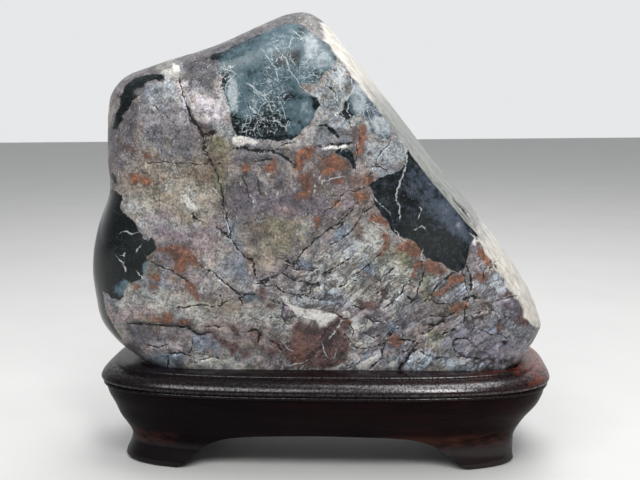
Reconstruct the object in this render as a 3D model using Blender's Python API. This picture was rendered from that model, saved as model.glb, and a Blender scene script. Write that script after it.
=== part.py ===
"""A polished viewing stone, standing in the socket of its carved wooden stand.

The stone is one boulder of veined rock: a broad, nearly flat front, a thinner top that runs down
from the apex in one long slope to the right, and a rounded left end with a waist above its belly.
The stand is one carved block: a moulded rim with a bead under it, an apron that draws in below,
four corner feet left between two through arches, and a socket cut to the stone.

Run it with blender --background --python part.py, or from Blender's text editor.
The front looks along -Y, up is +Z, the feet stand on z = 0, and lengths are in metres.
"""

import math

import bmesh
import bpy
import numpy as np
from mathutils import Matrix, Vector, noise

MM = 0.001
TAU = 2 * math.pi

# ---------------------------------------------------------------- driving dimensions

STAND_LENGTH = 200 * MM
STAND_DEPTH = 90 * MM
STAND_HEIGHT = 44.3 * MM          # to the flat land that the stone stands in
END_FULLNESS = 3.0                # plan of the stand: a rounded rectangle, |x|^3 + |y|^3.9 = 1
FRONT_FULLNESS = 3.9
SOCKET_DEPTH = 3.0 * MM
FITTING_GAP = 0.4 * MM            # all round the stone, in its socket

STONE_CORE = np.array((-3, 0, 108)) * MM   # every point of the stone is in sight of this one
STONE_BOX = np.array((100, 31, 77)) * MM   # half sizes of the block that is cut to the stone
STONE_FOOT = STAND_HEIGHT - SOCKET_DEPTH   # the flat that the stone stands on
SLOPE_LEAN = 0.075                # the right-hand slope also looks a little to the front
FACET_BLEND = 4 * MM              # how softly one worn face runs into the next

STAND_POINTS = 64                 # round the stand's plan
STONE_CELL = 2.2 * MM             # lattice of the stone before it is thinned
STONE_TRIANGLES = 6000            # after thinning

# The whole reaches further left than right: this brings its middle to x = 0.
CENTRE_SHIFT = Vector((2.3 * MM, 0, 0))

# ---------------------------------------------------------------- the stone's form

# Outline from the front, (x, z) in millimetres, anticlockwise from the right-hand tip.
OUTLINE = [
    (96.2, 61.5), (95, 66.5), (91.5, 74), (85.5, 82.5), (78, 93), (71.5, 101.5), (65, 110.5),
    (57, 119.5), (50.5, 127), (45.5, 133.5), (40, 141), (31, 153.5), (20.5, 168), (11.5, 180),
    (5.5, 188), (0.5, 193), (-6, 195.8), (-13, 195), (-22, 191.7), (-34, 186.7), (-50, 181.5),
    (-65, 176.7), (-77, 172.8), (-85.5, 169), (-90.5, 164), (-93, 156), (-94.1, 145),
    (-94.8, 132), (-95.5, 120.5), (-99, 112), (-102.6, 101), (-105, 90), (-105.6, 80),
    (-104.6, 70), (-101.5, 60.5), (-95, 52.5), (-85, 46), (-70, 40), (-40, 37), (0, 36),
    (40, 37), (68, 38), (80, 40.5), (87.3, 46), (91.2, 51.5), (94.3, 57),
]

# How softly the outline turns into the front and the back: (bearing from the core in degrees,
# blend in millimetres). The slope keeps a crisp, worn edge, and the left end is fully round.
EDGE_SOFTNESS = [
    (-150, 22), (-120, 8), (-60, 7), (-40, 10), (-20, 14), (0, 10), (20, 7), (60, 8), (88, 12),
    (110, 15), (140, 18), (160, 22), (180, 25), (200, 27),
]

# Flat worn faces: name, bearing from the front towards +X and tilt upwards in degrees, and
# distance from the core in millimetres.
FACETS = [
    ("front", 0.5, 3.5, 30.2),
    ("front foot", 0.5, -3.5, 31.0),
    ("front left", -10, 1, 39.2),
    ("front right", 9, 0, 38.3),
    ("front top", 0, 22, 48.0),
    ("back", 184, 5, 30.4),
    ("back foot", 178, -6, 32.2),
    ("back left", 198, 3, 43.5),
    ("back right", 168, 0, 40.3),
    ("back top", 180, 20, 39.5),
    ("back left foot", 212, -24, 76.0),
]

# Worn lumps (+) and hollows (-): place, spread and height in millimetres.
LUMPS = [
    ((-53, -31, 118), 6, 1.1),
    ((-51, -31, 111), 3.5, -1.3),
    ((-26, -31, 87), 9, -1.1),
    ((-56, -27, 160), 15, -0.9),
    ((-16, -25, 172), 22, 1.1),
    ((50, -29, 117), 16, 0.9),
    ((66, -29, 57), 13, 1.3),
    ((47, -29, 61), 8, -0.9),
    ((84, -20, 63), 9, 0.9),
    ((-76, -21, 60), 10, -1.0),
    ((28, 0, 157), 14, -0.8),
    ((53, -4, 124), 9, -1.2),
    ((80, 0, 91), 12, 0.7),
    ((-40, 30, 112), 26, 1.6),
    ((30, 30, 92), 22, -1.9),
    ((0, 27, 150), 18, 1.4),
    ((-70, 22, 150), 16, -1.6),
    ((-20, 30, 62), 16, -1.4),
    ((62, 24, 75), 14, 1.1),
]

# Fissures in the front, (x, z) in millimetres, each with its half width and depth.
FISSURES = [
    ([(-57, 168), (-54.5, 158), (-52, 151), (-47.5, 146), (-46, 137), (-41.5, 128.5), (-40, 120),
      (-38, 111), (-36.5, 101.5), (-33, 96), (-28, 92), (-25, 84)], 3.2, 1.2),
    ([(-36, 139), (-26, 138), (-17, 137), (-10, 131)], 2.4, 0.6),
    ([(-26, 86), (-15, 91), (-5, 98), (8, 106), (17, 113)], 2.2, 0.6),
    ([(10, 57), (17, 51), (27, 53), (33, 62)], 2.4, 0.6),
]

# A ledge low on the left of the front: the stone under this line stands back.
LEDGE = [(-88, 64), (-75, 65), (-61, 64), (-56, 63.5), (-52.5, 60.5), (-46.5, 61.5)]
LEDGE_DEPTH = 1.4 * MM
LEDGE_FADE = 13 * MM

# Broad and fine unevenness that wear has left: wavelength and height in millimetres.
WAVES = [(34, 1.0), (13, 0.45)]

# ---------------------------------------------------------------- the stand's form

# Section of the stand from its land down to the floor: how far in from the widest outline, and
# height, in millimetres.
STAND_PROFILE = [
    (6.4, 44.3), (6.1, 43.3), (4.2, 42.9), (2.2, 42.0), (0.7, 40.6), (0.0, 38.8), (0.4, 37.8),
    (1.4, 37.2), (0.9, 36.6), (0.9, 35.8), (1.7, 34.8), (2.7, 31.6), (4.1, 28.2), (5.9, 24.8),
    (7.9, 21.2), (10.0, 17.6), (12.0, 14.0), (13.2, 10.6), (12.9, 7.4), (12.0, 4.6), (11.3, 2.6),
    (11.3, 1.2), (12.0, 0.0),
]

# The hand-cut body isn't quite even: below its waist it reaches this much further at the left
# end and less at the right one, and its feet a little more still, in millimetres.
BODY_LEAN = 1.4
FEET_LEAN = 0.9

# Half of each arch, from its crown down to the floor: distance from the middle and height, in
# millimetres.
FRONT_ARCH = [(6, 16.7), (22, 16.3), (33, 15.6), (40, 14.6), (46, 12.6), (50, 10.5), (54, 7.6),
              (57.5, 4.6), (60.5, 2.5), (63.5, 1.1), (66.5, 0.0)]
END_ARCH = [(4.5, 13.5), (7, 13.1), (9.8, 11.9), (12, 10.1), (13.5, 8.0), (15, 5.6), (16.1, 3.2),
            (17, 0.0)]


# ---------------------------------------------------------------- curves and distances


def closed_curve(knots):
    """A function that reads a smooth closed curve through (angle, value) knots."""
    angle, value = np.array(sorted(knots)).T
    angle = np.concatenate((angle[-2:] - TAU, angle, angle[:2] + TAU))
    value = np.concatenate((value[-2:], value, value[:2]))
    slope = np.gradient(value, angle)

    def read(theta):
        theta = (theta - angle[1]) % TAU + angle[1]
        i = np.searchsorted(angle, theta, side="right") - 1
        width = angle[i + 1] - angle[i]
        t = (theta - angle[i]) / width
        ends = value[i] * (1 + 2 * t) * (1 - t) ** 2 + value[i + 1] * t * t * (3 - 2 * t)
        turns = slope[i] * t * (1 - t) ** 2 - slope[i + 1] * t * t * (1 - t)
        return ends + width * turns

    return read


def outline_knots():
    """The outline as (bearing, distance) from the core."""
    for x, z in OUTLINE:
        dx = x * MM - STONE_CORE[0]
        dz = z * MM - STONE_CORE[2]
        yield math.atan2(dz, dx), math.hypot(dx, dz)


outline_reach = closed_curve(outline_knots())
edge_softness = closed_curve((math.radians(bearing), soft * MM) for bearing, soft in EDGE_SOFTNESS)


def smooth_step(edge_0, edge_1, value):
    """0 before edge_0, 1 after edge_1, and a smooth rise between."""
    t = np.clip((value - edge_0) / (edge_1 - edge_0), 0, 1)
    return t * t * (3 - 2 * t)


def smooth_max(a, b, blend):
    """The larger of two distances, with the corner between them rounded."""
    return np.maximum(a, b) + np.maximum(blend - np.abs(a - b), 0) ** 2 / (4 * blend)


def distance_to_path(x, z, path):
    """Distance from each (x, z) to a polyline given in millimetres."""
    nearest = np.full(len(x), np.inf)
    corners = np.array(path) * MM
    for start, end in zip(corners[:-1], corners[1:]):
        along = end - start
        t = ((x - start[0]) * along[0] + (z - start[1]) * along[1]) / along.dot(along)
        t = np.clip(t, 0, 1)
        gap = np.hypot(x - start[0] - t * along[0], z - start[1] - t * along[1])
        nearest = np.minimum(nearest, gap)
    return nearest


# ---------------------------------------------------------------- stone


def stone_distance(points):
    """Distance of each point from the stone's smooth form, negative inside."""
    x, y, z = (points - STONE_CORE).T
    bearing = np.arctan2(z, x)
    reach = outline_reach(bearing)
    turn = (outline_reach(bearing + 0.01) - outline_reach(bearing - 0.01)) / 0.02 / reach
    on_slope = smooth_step(-0.6, -0.3, bearing) * smooth_step(1.5, 1.2, bearing)
    form = (np.hypot(x, z) - reach - SLOPE_LEAN * y * on_slope) / np.sqrt(1 + turn ** 2)
    faces = np.full(len(x), -1.0)
    for _name, bearing_deg, tilt_deg, distance in FACETS:
        side, tilt = math.radians(bearing_deg), math.radians(tilt_deg)
        across = x * math.sin(side) - y * math.cos(side)
        face = across * math.cos(tilt) + z * math.sin(tilt) - distance * MM
        faces = smooth_max(faces, face, FACET_BLEND)
    form = smooth_max(form, faces, edge_softness(bearing))
    return smooth_max(form, STONE_FOOT - points[:, 2], 1 * MM)


def project_to_stone(points):
    """Slide points along their rays from the core until they meet the stone's smooth form."""
    ray = points - STONE_CORE
    inside = np.full(len(points), 0.2)
    outside = np.full(len(points), 2.5)
    for _halving in range(30):
        middle = (inside + outside) / 2
        is_out = stone_distance(STONE_CORE + ray * middle[:, None]) > 0
        outside = np.where(is_out, middle, outside)
        inside = np.where(is_out, inside, middle)
    return STONE_CORE + ray * ((inside + outside) / 2)[:, None]


def stone_relief(points):
    """Height of the worn surface over the smooth form, in metres."""
    x, y, z = points.T
    height = np.zeros(len(points))
    for place, spread, rise in LUMPS:
        gap = np.linalg.norm(points - np.array(place) * MM, axis=1)
        height += rise * MM * np.exp(-(gap / (spread * MM)) ** 2)
    front = smooth_step(-8 * MM, -18 * MM, y)
    for path, half_width, depth in FISSURES:
        gap = distance_to_path(x, z, path) / (half_width * MM)
        height -= front * depth * MM * np.exp(-gap ** 2)
    ledge_x, ledge_z = np.array(LEDGE).T * MM
    under = np.interp(x, ledge_x, ledge_z) - z
    along = smooth_step(ledge_x[0] - 6 * MM, ledge_x[0] + 6 * MM, x)
    along *= smooth_step(ledge_x[-1] + 6 * MM, ledge_x[-1] - 6 * MM, x)
    step = smooth_step(0, 2 * MM, under) * np.exp(-np.maximum(under, 0) / LEDGE_FADE)
    height -= LEDGE_DEPTH * front * along * step
    for wavelength, rise in WAVES:
        wave = [noise.noise(Vector(point) / (wavelength * MM)) for point in points]
        height += rise * MM * np.array(wave)
    above_foot = smooth_step(STONE_FOOT, STONE_FOOT + 9 * MM, z)
    return height * above_foot


def block_lattice(half_sizes, cell):
    """A closed box with its faces divided into square cells."""
    mesh = bmesh.new()
    bmesh.ops.create_cube(mesh, size=2, matrix=Matrix.Diagonal((*half_sizes, 1)))
    for axis, half in enumerate(half_sizes):
        edges = []
        for edge in mesh.edges:
            along = edge.verts[1].co - edge.verts[0].co
            if abs(along[axis]) > half:
                edges.append(edge)
        cuts = round(2 * half / cell) - 1
        bmesh.ops.subdivide_edges(mesh, edges=edges, cuts=cuts, use_grid_fill=True)
    return mesh


def carve_stone():
    """The stone's mesh: a block's lattice drawn onto the form, then raised by the relief."""
    mesh = block_lattice(STONE_BOX, STONE_CELL)
    lattice = np.array([vert.co for vert in mesh.verts]) + STONE_CORE
    surface = project_to_stone(lattice)
    for vert, point in zip(mesh.verts, surface):
        vert.co = point
    mesh.normal_update()
    normals = np.array([vert.normal for vert in mesh.verts])
    surface += normals * stone_relief(surface)[:, None]
    for vert, point in zip(mesh.verts, surface):
        vert.co = point
    bmesh.ops.triangulate(mesh, faces=mesh.faces)
    return mesh


# ---------------------------------------------------------------- stand


def plan_point(angle, inset):
    """Point of the stand's plan at an angle, drawn in from its widest outline."""
    cos, sin = math.cos(angle), math.sin(angle)
    x = (STAND_LENGTH / 2 - inset) * math.copysign(abs(cos) ** (2 / END_FULLNESS), cos)
    y = (STAND_DEPTH / 2 - inset) * math.copysign(abs(sin) ** (2 / FRONT_FULLNESS), sin)
    return x, y


def loft(sections):
    """A closed skin over a row of closed sections, each a list of points."""
    mesh = bmesh.new()
    before = None
    for section in sections:
        verts = [mesh.verts.new(point) for point in section]
        edges = [mesh.edges.new(pair) for pair in zip(verts, verts[1:] + verts[:1])]
        if before:
            bmesh.ops.bridge_loops(mesh, edges=before + edges)
        else:
            bmesh.ops.contextual_create(mesh, geom=edges)
        before = edges
    bmesh.ops.contextual_create(mesh, geom=before)
    bmesh.ops.recalc_face_normals(mesh, faces=mesh.faces)
    return mesh


def turn_stand():
    """The stand's outer form: its section carried round its plan."""
    rings = []
    for inset, height in STAND_PROFILE:
        lean = BODY_LEAN * smooth_step(28, 19, height) + FEET_LEAN * smooth_step(9, 3, height)
        ring = []
        for step in range(STAND_POINTS):
            angle = TAU * step / STAND_POINTS
            drawn_in = (inset + lean * math.cos(angle)) * MM
            ring.append((*plan_point(angle, drawn_in), height * MM))
        rings.append(ring)
    return loft(rings)


def arch_bar(half_arch, axis, reach):
    """A bar along X or Y, longer than the stand, with the section of an arch."""
    foot = half_arch[-1][0]
    right = [(across * MM, height * MM) for across, height in half_arch + [(foot, -5)]]
    left = [(-across, height) for across, height in reversed(right)]
    sections = []
    for along in (-reach, reach):
        if axis == "X":
            sections.append([(along, across, height) for across, height in left + right])
        else:
            sections.append([(across, along, height) for across, height in left + right])
    return loft(sections)


# ---------------------------------------------------------------- objects and finishes


def finish(name, colour, roughness, coat):
    """A plain material in the piece's main colour."""
    material = bpy.data.materials.new(name)
    material.use_nodes = True
    shader = material.node_tree.nodes["Principled BSDF"]
    shader.inputs["Base Color"].default_value = (*colour, 1)
    shader.inputs["Metallic"].default_value = 0
    shader.inputs["Roughness"].default_value = roughness
    shader.inputs["Coat Weight"].default_value = coat
    return material


def add_object(name, mesh, material, parent):
    """Put a bmesh into the scene as an object."""
    data = bpy.data.meshes.new(name)
    mesh.to_mesh(data)
    mesh.free()
    if material:
        data.materials.append(material)
    obj = bpy.data.objects.new(name, data)
    obj.parent = parent
    bpy.context.scene.collection.objects.link(obj)
    return obj


def add_cutter(name, mesh, target):
    """Take a hidden shape out of a target."""
    cutter = add_object(name, mesh, None, target.parent)
    cutter.display_type = "WIRE"
    cutter.hide_render = True
    cut = target.modifiers.new(name, "BOOLEAN")
    cut.operation = "DIFFERENCE"
    cut.solver = "EXACT"
    cut.object = cutter
    return cutter


def thin(obj, triangles):
    """Collapse the flattest edges until about this many triangles are left."""
    reduce = obj.modifiers.new("thin", "DECIMATE")
    reduce.decimate_type = "COLLAPSE"
    reduce.ratio = triangles / len(obj.data.polygons)


def main():
    for old in list(bpy.data.objects):
        bpy.data.objects.remove(old)

    place = bpy.data.objects.new("place", None)
    place.location = CENTRE_SHIFT
    bpy.context.scene.collection.objects.link(place)

    rock = finish("polished veined stone", (0.34, 0.31, 0.30), 0.35, 0.4)
    stone = add_object("stone", carve_stone(), rock, place)
    thin(stone, STONE_TRIANGLES)

    wood = finish("dark lacquered wood", (0.045, 0.018, 0.014), 0.25, 0.6)
    stand = add_object("stand", turn_stand(), wood, place)
    stand.data.shade_smooth()
    stand.data.set_sharp_from_angle(angle=math.radians(35))
    add_cutter("front arch", arch_bar(FRONT_ARCH, "Y", STAND_DEPTH), stand)
    add_cutter("end arch", arch_bar(END_ARCH, "X", STAND_LENGTH), stand)

    socket = add_cutter("socket", carve_stone(), stand)
    thin(socket, STONE_TRIANGLES)
    swell = socket.modifiers.new("gap", "DISPLACE")
    swell.strength = FITTING_GAP
    swell.mid_level = 0


main()
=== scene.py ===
"""A viewing stone on its carved stand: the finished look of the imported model.

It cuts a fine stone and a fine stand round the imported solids, in the same place and to the same
sizes, gives them polished veined rock and lacquered wood, and sets up a plain studio.
Lengths are in metres unless a name or a note says millimetres. +Z is up and the front looks
along -Y.

The stone's markings are laid out on a chart, in millimetres across and up as they are seen from
the place where the camera stands. The chart only says where a marking lies on the front.
"""

import math

import bmesh
import bpy
import numpy as np
from mathutils import Matrix, Vector, noise


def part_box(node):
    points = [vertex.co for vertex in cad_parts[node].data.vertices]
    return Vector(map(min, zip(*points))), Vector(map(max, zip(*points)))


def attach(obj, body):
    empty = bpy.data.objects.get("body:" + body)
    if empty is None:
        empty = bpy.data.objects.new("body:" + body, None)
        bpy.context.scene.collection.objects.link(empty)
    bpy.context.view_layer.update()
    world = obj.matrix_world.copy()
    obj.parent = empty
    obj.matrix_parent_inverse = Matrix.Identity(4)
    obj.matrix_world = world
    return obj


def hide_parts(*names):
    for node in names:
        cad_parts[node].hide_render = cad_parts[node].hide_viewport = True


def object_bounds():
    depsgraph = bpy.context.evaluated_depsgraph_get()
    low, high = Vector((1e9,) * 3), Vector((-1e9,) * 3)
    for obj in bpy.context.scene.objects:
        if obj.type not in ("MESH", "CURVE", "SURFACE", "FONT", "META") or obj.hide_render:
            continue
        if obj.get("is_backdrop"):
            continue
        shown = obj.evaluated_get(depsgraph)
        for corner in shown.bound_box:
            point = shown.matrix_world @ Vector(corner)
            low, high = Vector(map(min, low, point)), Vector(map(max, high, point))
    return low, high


bl_info = {
    "name": "Viewing Stone on a Carved Stand",
    "version": (1, 0, 0),
    "blender": (4, 5, 0),
    "location": "View3D > Sidebar > Viewing Stone",
    "description": "Dresses the packed viewing stone and stand and sets up a studio for them",
    "category": "Object",
}

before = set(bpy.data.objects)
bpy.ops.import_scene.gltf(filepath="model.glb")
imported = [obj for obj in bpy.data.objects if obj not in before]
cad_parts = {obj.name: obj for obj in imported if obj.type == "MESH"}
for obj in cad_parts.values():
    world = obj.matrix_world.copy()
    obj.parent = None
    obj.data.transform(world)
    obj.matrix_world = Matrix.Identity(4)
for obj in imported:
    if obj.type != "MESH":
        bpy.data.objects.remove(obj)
CAD_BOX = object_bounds()
STAND_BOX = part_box("stand")

MM = 0.001
TAU = 2 * math.pi

# The middle of the stand, which the forms below are measured from.
PLACE = np.array(((STAND_BOX[0].x + STAND_BOX[1].x) / 2, 0, 0))

# ---------------------------------------------------------------- where the front is seen from

# Heading to the right of square on, height above level and roll in degrees; the point that is
# looked at and the distance to it in millimetres.
VIEW_HEADING = 4.2
VIEW_TILT = 9.2
VIEW_ROLL = -0.7
VIEW_TARGET = (-1.4, 0, 96.4)
VIEW_DISTANCE = 430
VIEW_WIDTH = 288.3                # of what the camera takes in, at the target, in millimetres
SENSOR = 36                       # the camera's sensor width in millimetres
LIGHT_AIM = Vector((0, 0, 0.1))   # about the middle of the object, where the lights look

# ---------------------------------------------------------------- the stone's form

STONE_CORE = np.array((-3, 0, 108)) * MM       # where the rays to its surface start
BLOCK = np.array((100, 31, 77)) * MM           # half sizes of the block that it is carved from
STONE_FOOT = 41.3 * MM                         # height of the flat that stands in the socket
FOOT_BLEND = 1 * MM
SLOPE_LEAN = 0.075                             # how far the long slope leans out, per depth
FACET_BLEND = 4 * MM
HALVINGS = 30                                  # steps in the search for its surface

# The outline seen square on from the front, as (x, z) in millimetres.
OUTLINE = [
    (96.2, 61.5), (95, 66.5), (91.5, 74), (85.5, 82.5), (78, 93), (71.5, 101.5), (65, 110.5),
    (57, 119.5), (50.5, 127), (45.5, 133.5), (40, 141), (31, 153.5), (20.5, 168), (11.5, 180),
    (5.5, 188), (0.5, 193), (-6, 195.8), (-13, 195), (-22, 191.7), (-34, 186.7), (-50, 181.5),
    (-65, 176.7), (-77, 172.8), (-85.5, 169), (-90.5, 164), (-93, 156), (-94.1, 145), (-94.8, 132),
    (-95.5, 120.5), (-99, 112), (-102.6, 101), (-105, 90), (-105.6, 80), (-104.6, 70),
    (-101.5, 60.5), (-95, 52.5), (-85, 46), (-70, 40), (-40, 37), (0, 36), (40, 37), (68, 38),
    (80, 40.5), (87.3, 46), (91.2, 51.5), (94.3, 57),
]

# How widely the outline is rounded off, in millimetres, by bearing from the core in degrees.
EDGE_SOFTNESS = [
    (-150, 22), (-120, 8), (-60, 7), (-40, 10), (-20, 14), (0, 10), (20, 7), (60, 8), (88, 12),
    (110, 15), (140, 18), (160, 22), (180, 25), (200, 27),
]

# Worn flats: bearing from the front and tilt in degrees, then distance from the core in
# millimetres.
FACETS = [
    (0.5, 3.5, 30.2),
    (0.5, -3.5, 31.0),
    (-10, 1, 39.2),
    (9, 0, 38.3),
    (0, 22, 48.0),
    (184, 5, 30.4),
    (178, -6, 32.2),
    (198, 3, 43.5),
    (168, 0, 40.3),
    (180, 20, 39.5),
    (212, -24, 76.0),
]

# Swellings and hollows: place, spread and rise in millimetres.
LUMPS = [
    ((-53, -31, 118), 6, 1.1),
    ((-51, -31, 111), 3.5, -1.3),
    ((-26, -31, 87), 9, -1.1),
    ((-56, -27, 160), 15, -0.9),
    ((-16, -25, 172), 22, 1.1),
    ((50, -29, 117), 16, 0.9),
    ((66, -29, 57), 13, 1.3),
    ((47, -29, 61), 8, -0.9),
    ((84, -20, 63), 9, 0.9),
    ((-76, -21, 60), 10, -1.0),
    ((28, 0, 157), 14, -0.8),
    ((53, -4, 124), 9, -1.2),
    ((80, 0, 91), 12, 0.7),
    ((-40, 30, 112), 26, 1.6),
    ((30, 30, 92), 22, -1.9),
    ((0, 27, 150), 18, 1.4),
    ((-70, 22, 150), 16, -1.6),
    ((-20, 30, 62), 16, -1.4),
    ((62, 24, 75), 14, 1.1),
]

# Open fissures in the front: path as (x, z), half width and depth in millimetres.
FISSURES = [
    ([(-57, 168), (-54.5, 158), (-52, 151), (-47.5, 146), (-46, 137), (-41.5, 128.5), (-40, 120),
      (-38, 111), (-36.5, 101.5), (-33, 96), (-28, 92), (-25, 84)], 3.2, 1.2),
    ([(-36, 139), (-26, 138), (-17, 137), (-10, 131)], 2.4, 0.6),
    ([(-26, 86), (-15, 91), (-5, 98), (8, 106), (17, 113)], 2.2, 0.6),
    ([(10, 57), (17, 51), (27, 53), (33, 62)], 2.4, 0.6),
]

# The ledge at the lower left of the front, as (x, z): the rock is cut back below it.
LEDGE = [(-88, 64), (-75, 65), (-61, 64), (-56, 63.5), (-52.5, 60.5), (-46.5, 61.5)]
LEDGE_DEPTH = 1.4 * MM
LEDGE_FADE = 13 * MM

WAVES = [(34, 1.0), (13, 0.45)]                # length and rise in millimetres

# ---------------------------------------------------------------- the stone's markings

# Dark chert, outlined on the chart; one outline runs on as painted shade under the lower left.
CHERT_AND_SHADE = [
    [(-40.5, 54), (-39.5, 50), (-37, 46.8), (-33, 46.5), (-30, 46), (-26, 45), (-23, 45),
     (-19, 44.5), (-16, 44.8), (-12, 45.5), (-9, 47.5), (-8, 50), (-5, 52), (-3, 55), (-2, 58),
     (0, 61), (-1, 64), (-5, 65), (-8, 67), (-9, 70), (-6, 70), (-2, 70), (0, 71), (1, 74),
     (4, 76.5), (8, 75.5), (7, 79), (8, 83), (6, 87), (2, 89), (-3, 92), (-8, 96), (-14, 97),
     (-20, 94.5), (-28, 91.5), (-36, 88), (-44, 84.5), (-50, 83), (-50, 81.5), (-46, 80.5),
     (-45, 79), (-46.5, 76), (-44, 73), (-45.5, 69), (-43, 65), (-41, 60)],
    [(12, 80), (14.5, 77), (17, 73), (21, 68), (25, 62), (29, 56), (32.5, 50), (31, 45),
     (27, 46), (23, 49), (22, 54), (18, 57), (15, 56), (12, 54), (10, 57), (11, 62), (14, 66),
     (15, 70), (14, 74)],
    [(22, 25), (27, 28), (33, 30), (38, 33), (39, 37), (38.7, 42), (38.5, 44.5), (41, 41.5),
     (45, 36.5), (49, 32), (52, 28), (56, 24), (59.5, 20), (61.5, 16.5), (64, 12.5), (66.5, 9),
     (68.5, 5.5), (71.5, 1.5), (69.5, 1), (68, -2), (67, -6), (66.5, -9), (65, -13), (62, -14.5),
     (58, -13), (55, -10.5), (51, -9), (47.5, -8), (46, -6), (45.5, -4), (43, -1), (40, 0.5),
     (37, 1), (34, 3), (32, 5), (31, 8), (28, 11), (25.5, 14), (24, 17), (24, 20), (23, 23)],
    [(-94, 31), (-92, 29), (-91, 26), (-92, 25.5), (-94, 28)],
    [(-112, 24), (-93, 22.5), (-91, 21), (-89, 20), (-88.5, 18), (-89.5, 16), (-90, 14),
     (-89, 12.5), (-86, 10.5), (-84, 8.5), (-82.5, 6.5), (-82, 4.5), (-80, 2.5), (-79.5, 0.5),
     (-77.5, -0.5), (-76, 1), (-74.5, -1), (-74, -3.5), (-75.5, -5.5), (-77, -7), (-79, -6.5),
     (-78, -9), (-77.5, -11), (-79, -14), (-80.5, -17), (-82.5, -18.5), (-85, -19),
     (-86.5, -19), (-87.5, -22), (-89, -26), (-91, -27), (-94, -26.5), (-96, -24.5),
     # Below about -27 this outline is partly chert and partly painted shade along the lower left
     # underside.
     (-98.5, -22.5), (-97.5, -27), (-96, -33), (-93, -39), (-89, -46), (-85, -52), (-89, -58),
     (-112, -50)],
    [(-93, 50), (-92, 56), (-90, 60), (-89.5, 65), (-87, 70), (-83, 73), (-78, 74.5),
     (-73, 75.5), (-70, 74), (-71, 71.5), (-75, 72.5), (-79, 70.5), (-79.5, 68), (-81, 65),
     (-83, 63.5), (-85, 62), (-86, 59.5), (-88, 57), (-89, 55.5), (-88.5, 54), (-90, 52.5),
     (-91.5, 49)],
    [(-0.5, 51.5), (2.5, 50.8), (6, 47.5), (8, 45.5), (9.5, 46.5), (6, 50), (3, 52.3)],
    [(6, 40), (9, 41.5), (13, 41), (15, 38), (16, 33), (15, 32), (13.5, 36), (10, 37.5)],
]

# Light haze in the chert, and painted sheen on its polish: place, half length, half width, turn in
# degrees and strength.
HAZE_AND_SHEEN = [
    (-6, 72, 5, 8, 0, 0.35), (-6, 80, 4, 4, 0, 0.6), (-6, 58, 3, 6, 0, 0.5),
    (-12, 50, 4, 3, 0, 0.4), (-39, 66, 3, 8, 0, 1.0), (-35, 72, 3, 5, 0, 0.5),
    (-33, 60, 5, 6, 0, 0.5), (-30, 68, 7, 7, 0, 0.25), (-24, 62, 9, 6, 0, 0.3),
    # Painted sheen at the top, near (-16, 88) and (-4, 87), mixed in with the haze.
    (0, 84, 6, 5, 0, 0.4), (-28, 84, 22, 7, 22, 0.36), (-16, 88, 12, 5, 15, 0.3),
    (-14, 97, 12, 4, 20, 0.4), (28, 51, 6, 5, -50, 0.9), (-4, 87, 4, 6, 0, 1.0),
    (1, 80, 5, 5, 0, 0.7), (-14, 72, 8, 8, 0, 0.35), (-24, 72, 7, 8, 0, 0.3),
    (-10, 58, 7, 6, 0, 0.35), (-4, 68, 5, 3, 0, 0.6), (20, 62, 12, 6, -55, 0.4),
    (17, 64, 4, 8, 0, 0.8), (-88, -22, 5, 4, 0, 0.6), (-78, -13, 2, 4, 0, 0.7),
    # Painted sheen along the right patch, from (44, 27) to (65, 3).
    (44, 27, 9, 6, -45, 0.18), (54, 14, 15, 7, -50, 0.22), (58, 10, 11, 4, -50, 0.3),
    (65, 3, 8, 3, -50, 0.3), (-50, 86, 6, 2, 20, 0.6),
]

# Crowds of fine white specks, laid out as the haze is.
SPECKS = [
    (-41, 68, 6, 13, 0, 1.0), (-52, 74, 9, 8, -20, 0.7), (-55, 84, 8, 3, 20, 0.6),
    (-4, 76, 6, 9, 0, 0.8), (-26, 53, 15, 8, 0, 0.8), (-22, 66, 10, 12, 0, 0.85),
    (-18, 78, 9, 9, 0, 0.7), (-12, 90, 12, 5, 10, 0.5), (9, 76, 5, 12, -25, 0.9),
    (24, 56, 12, 5, -55, 0.8), (32, 42, 6, 6, 0, 0.7), (14, 42, 8, 3, 0, 0.6),
    (50, -6, 10, 4, -20, 0.2), (44, 22, 8, 6, 0, 0.2), (-78, 58, 8, 10, 0, 0.15),
    (0, -34, 12, 3, -10, 0.6), (-62, 16, 4, 8, -45, 0.5), (70, -44, 16, 10, 0, 0.35),
    (2, -50, 12, 6, 0, 0.5), (38, 24, 5, 9, 0, 0.3), (-48, 15, 4, 8, 20, 0.5),
    (20, 2, 9, 7, 0, 0.4),
]

# Orange-brown hearts of the maroon patches, and dark ones, laid out as the haze is.
EMBERS = [
    (-10, -50, 4, 6, 0, 1.0), (-10, -43, 2, 3, 0, 0.6), (-24, -47, 6, 3, 0, 0.7),
    (-40, -39, 3, 2, 0, 0.6), (14, -37, 3, 2, 0, 0.8), (-33, -44, 3, 2, 0, 0.6),
    (23, -30, 3, 2, 0, 0.4), (92, -36, 2, 2, 0, 0.4),
]
SOOT = [
    (4, -45, 6, 4, 20, 0.9), (-3, -41, 5, 3, 0, 0.6), (10, -53, 4, 3, 0, 0.6),
    (-42, -50, 4, 2, 0, 0.5), (-31, -44, 3, 1.5, -50, 0.8), (-67, -7, 5, 3, -30, 0.9),
    (-8, 25, 3, 4, 0, 0.6), (8, 34, 4, 2, 0, 0.4), (-6, 38, 3, 2, 0, 0.3), (40, -4, 3, 2, 0, 0.3),
    (60, -18, 4, 2, -20, 0.4),
]

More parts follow.
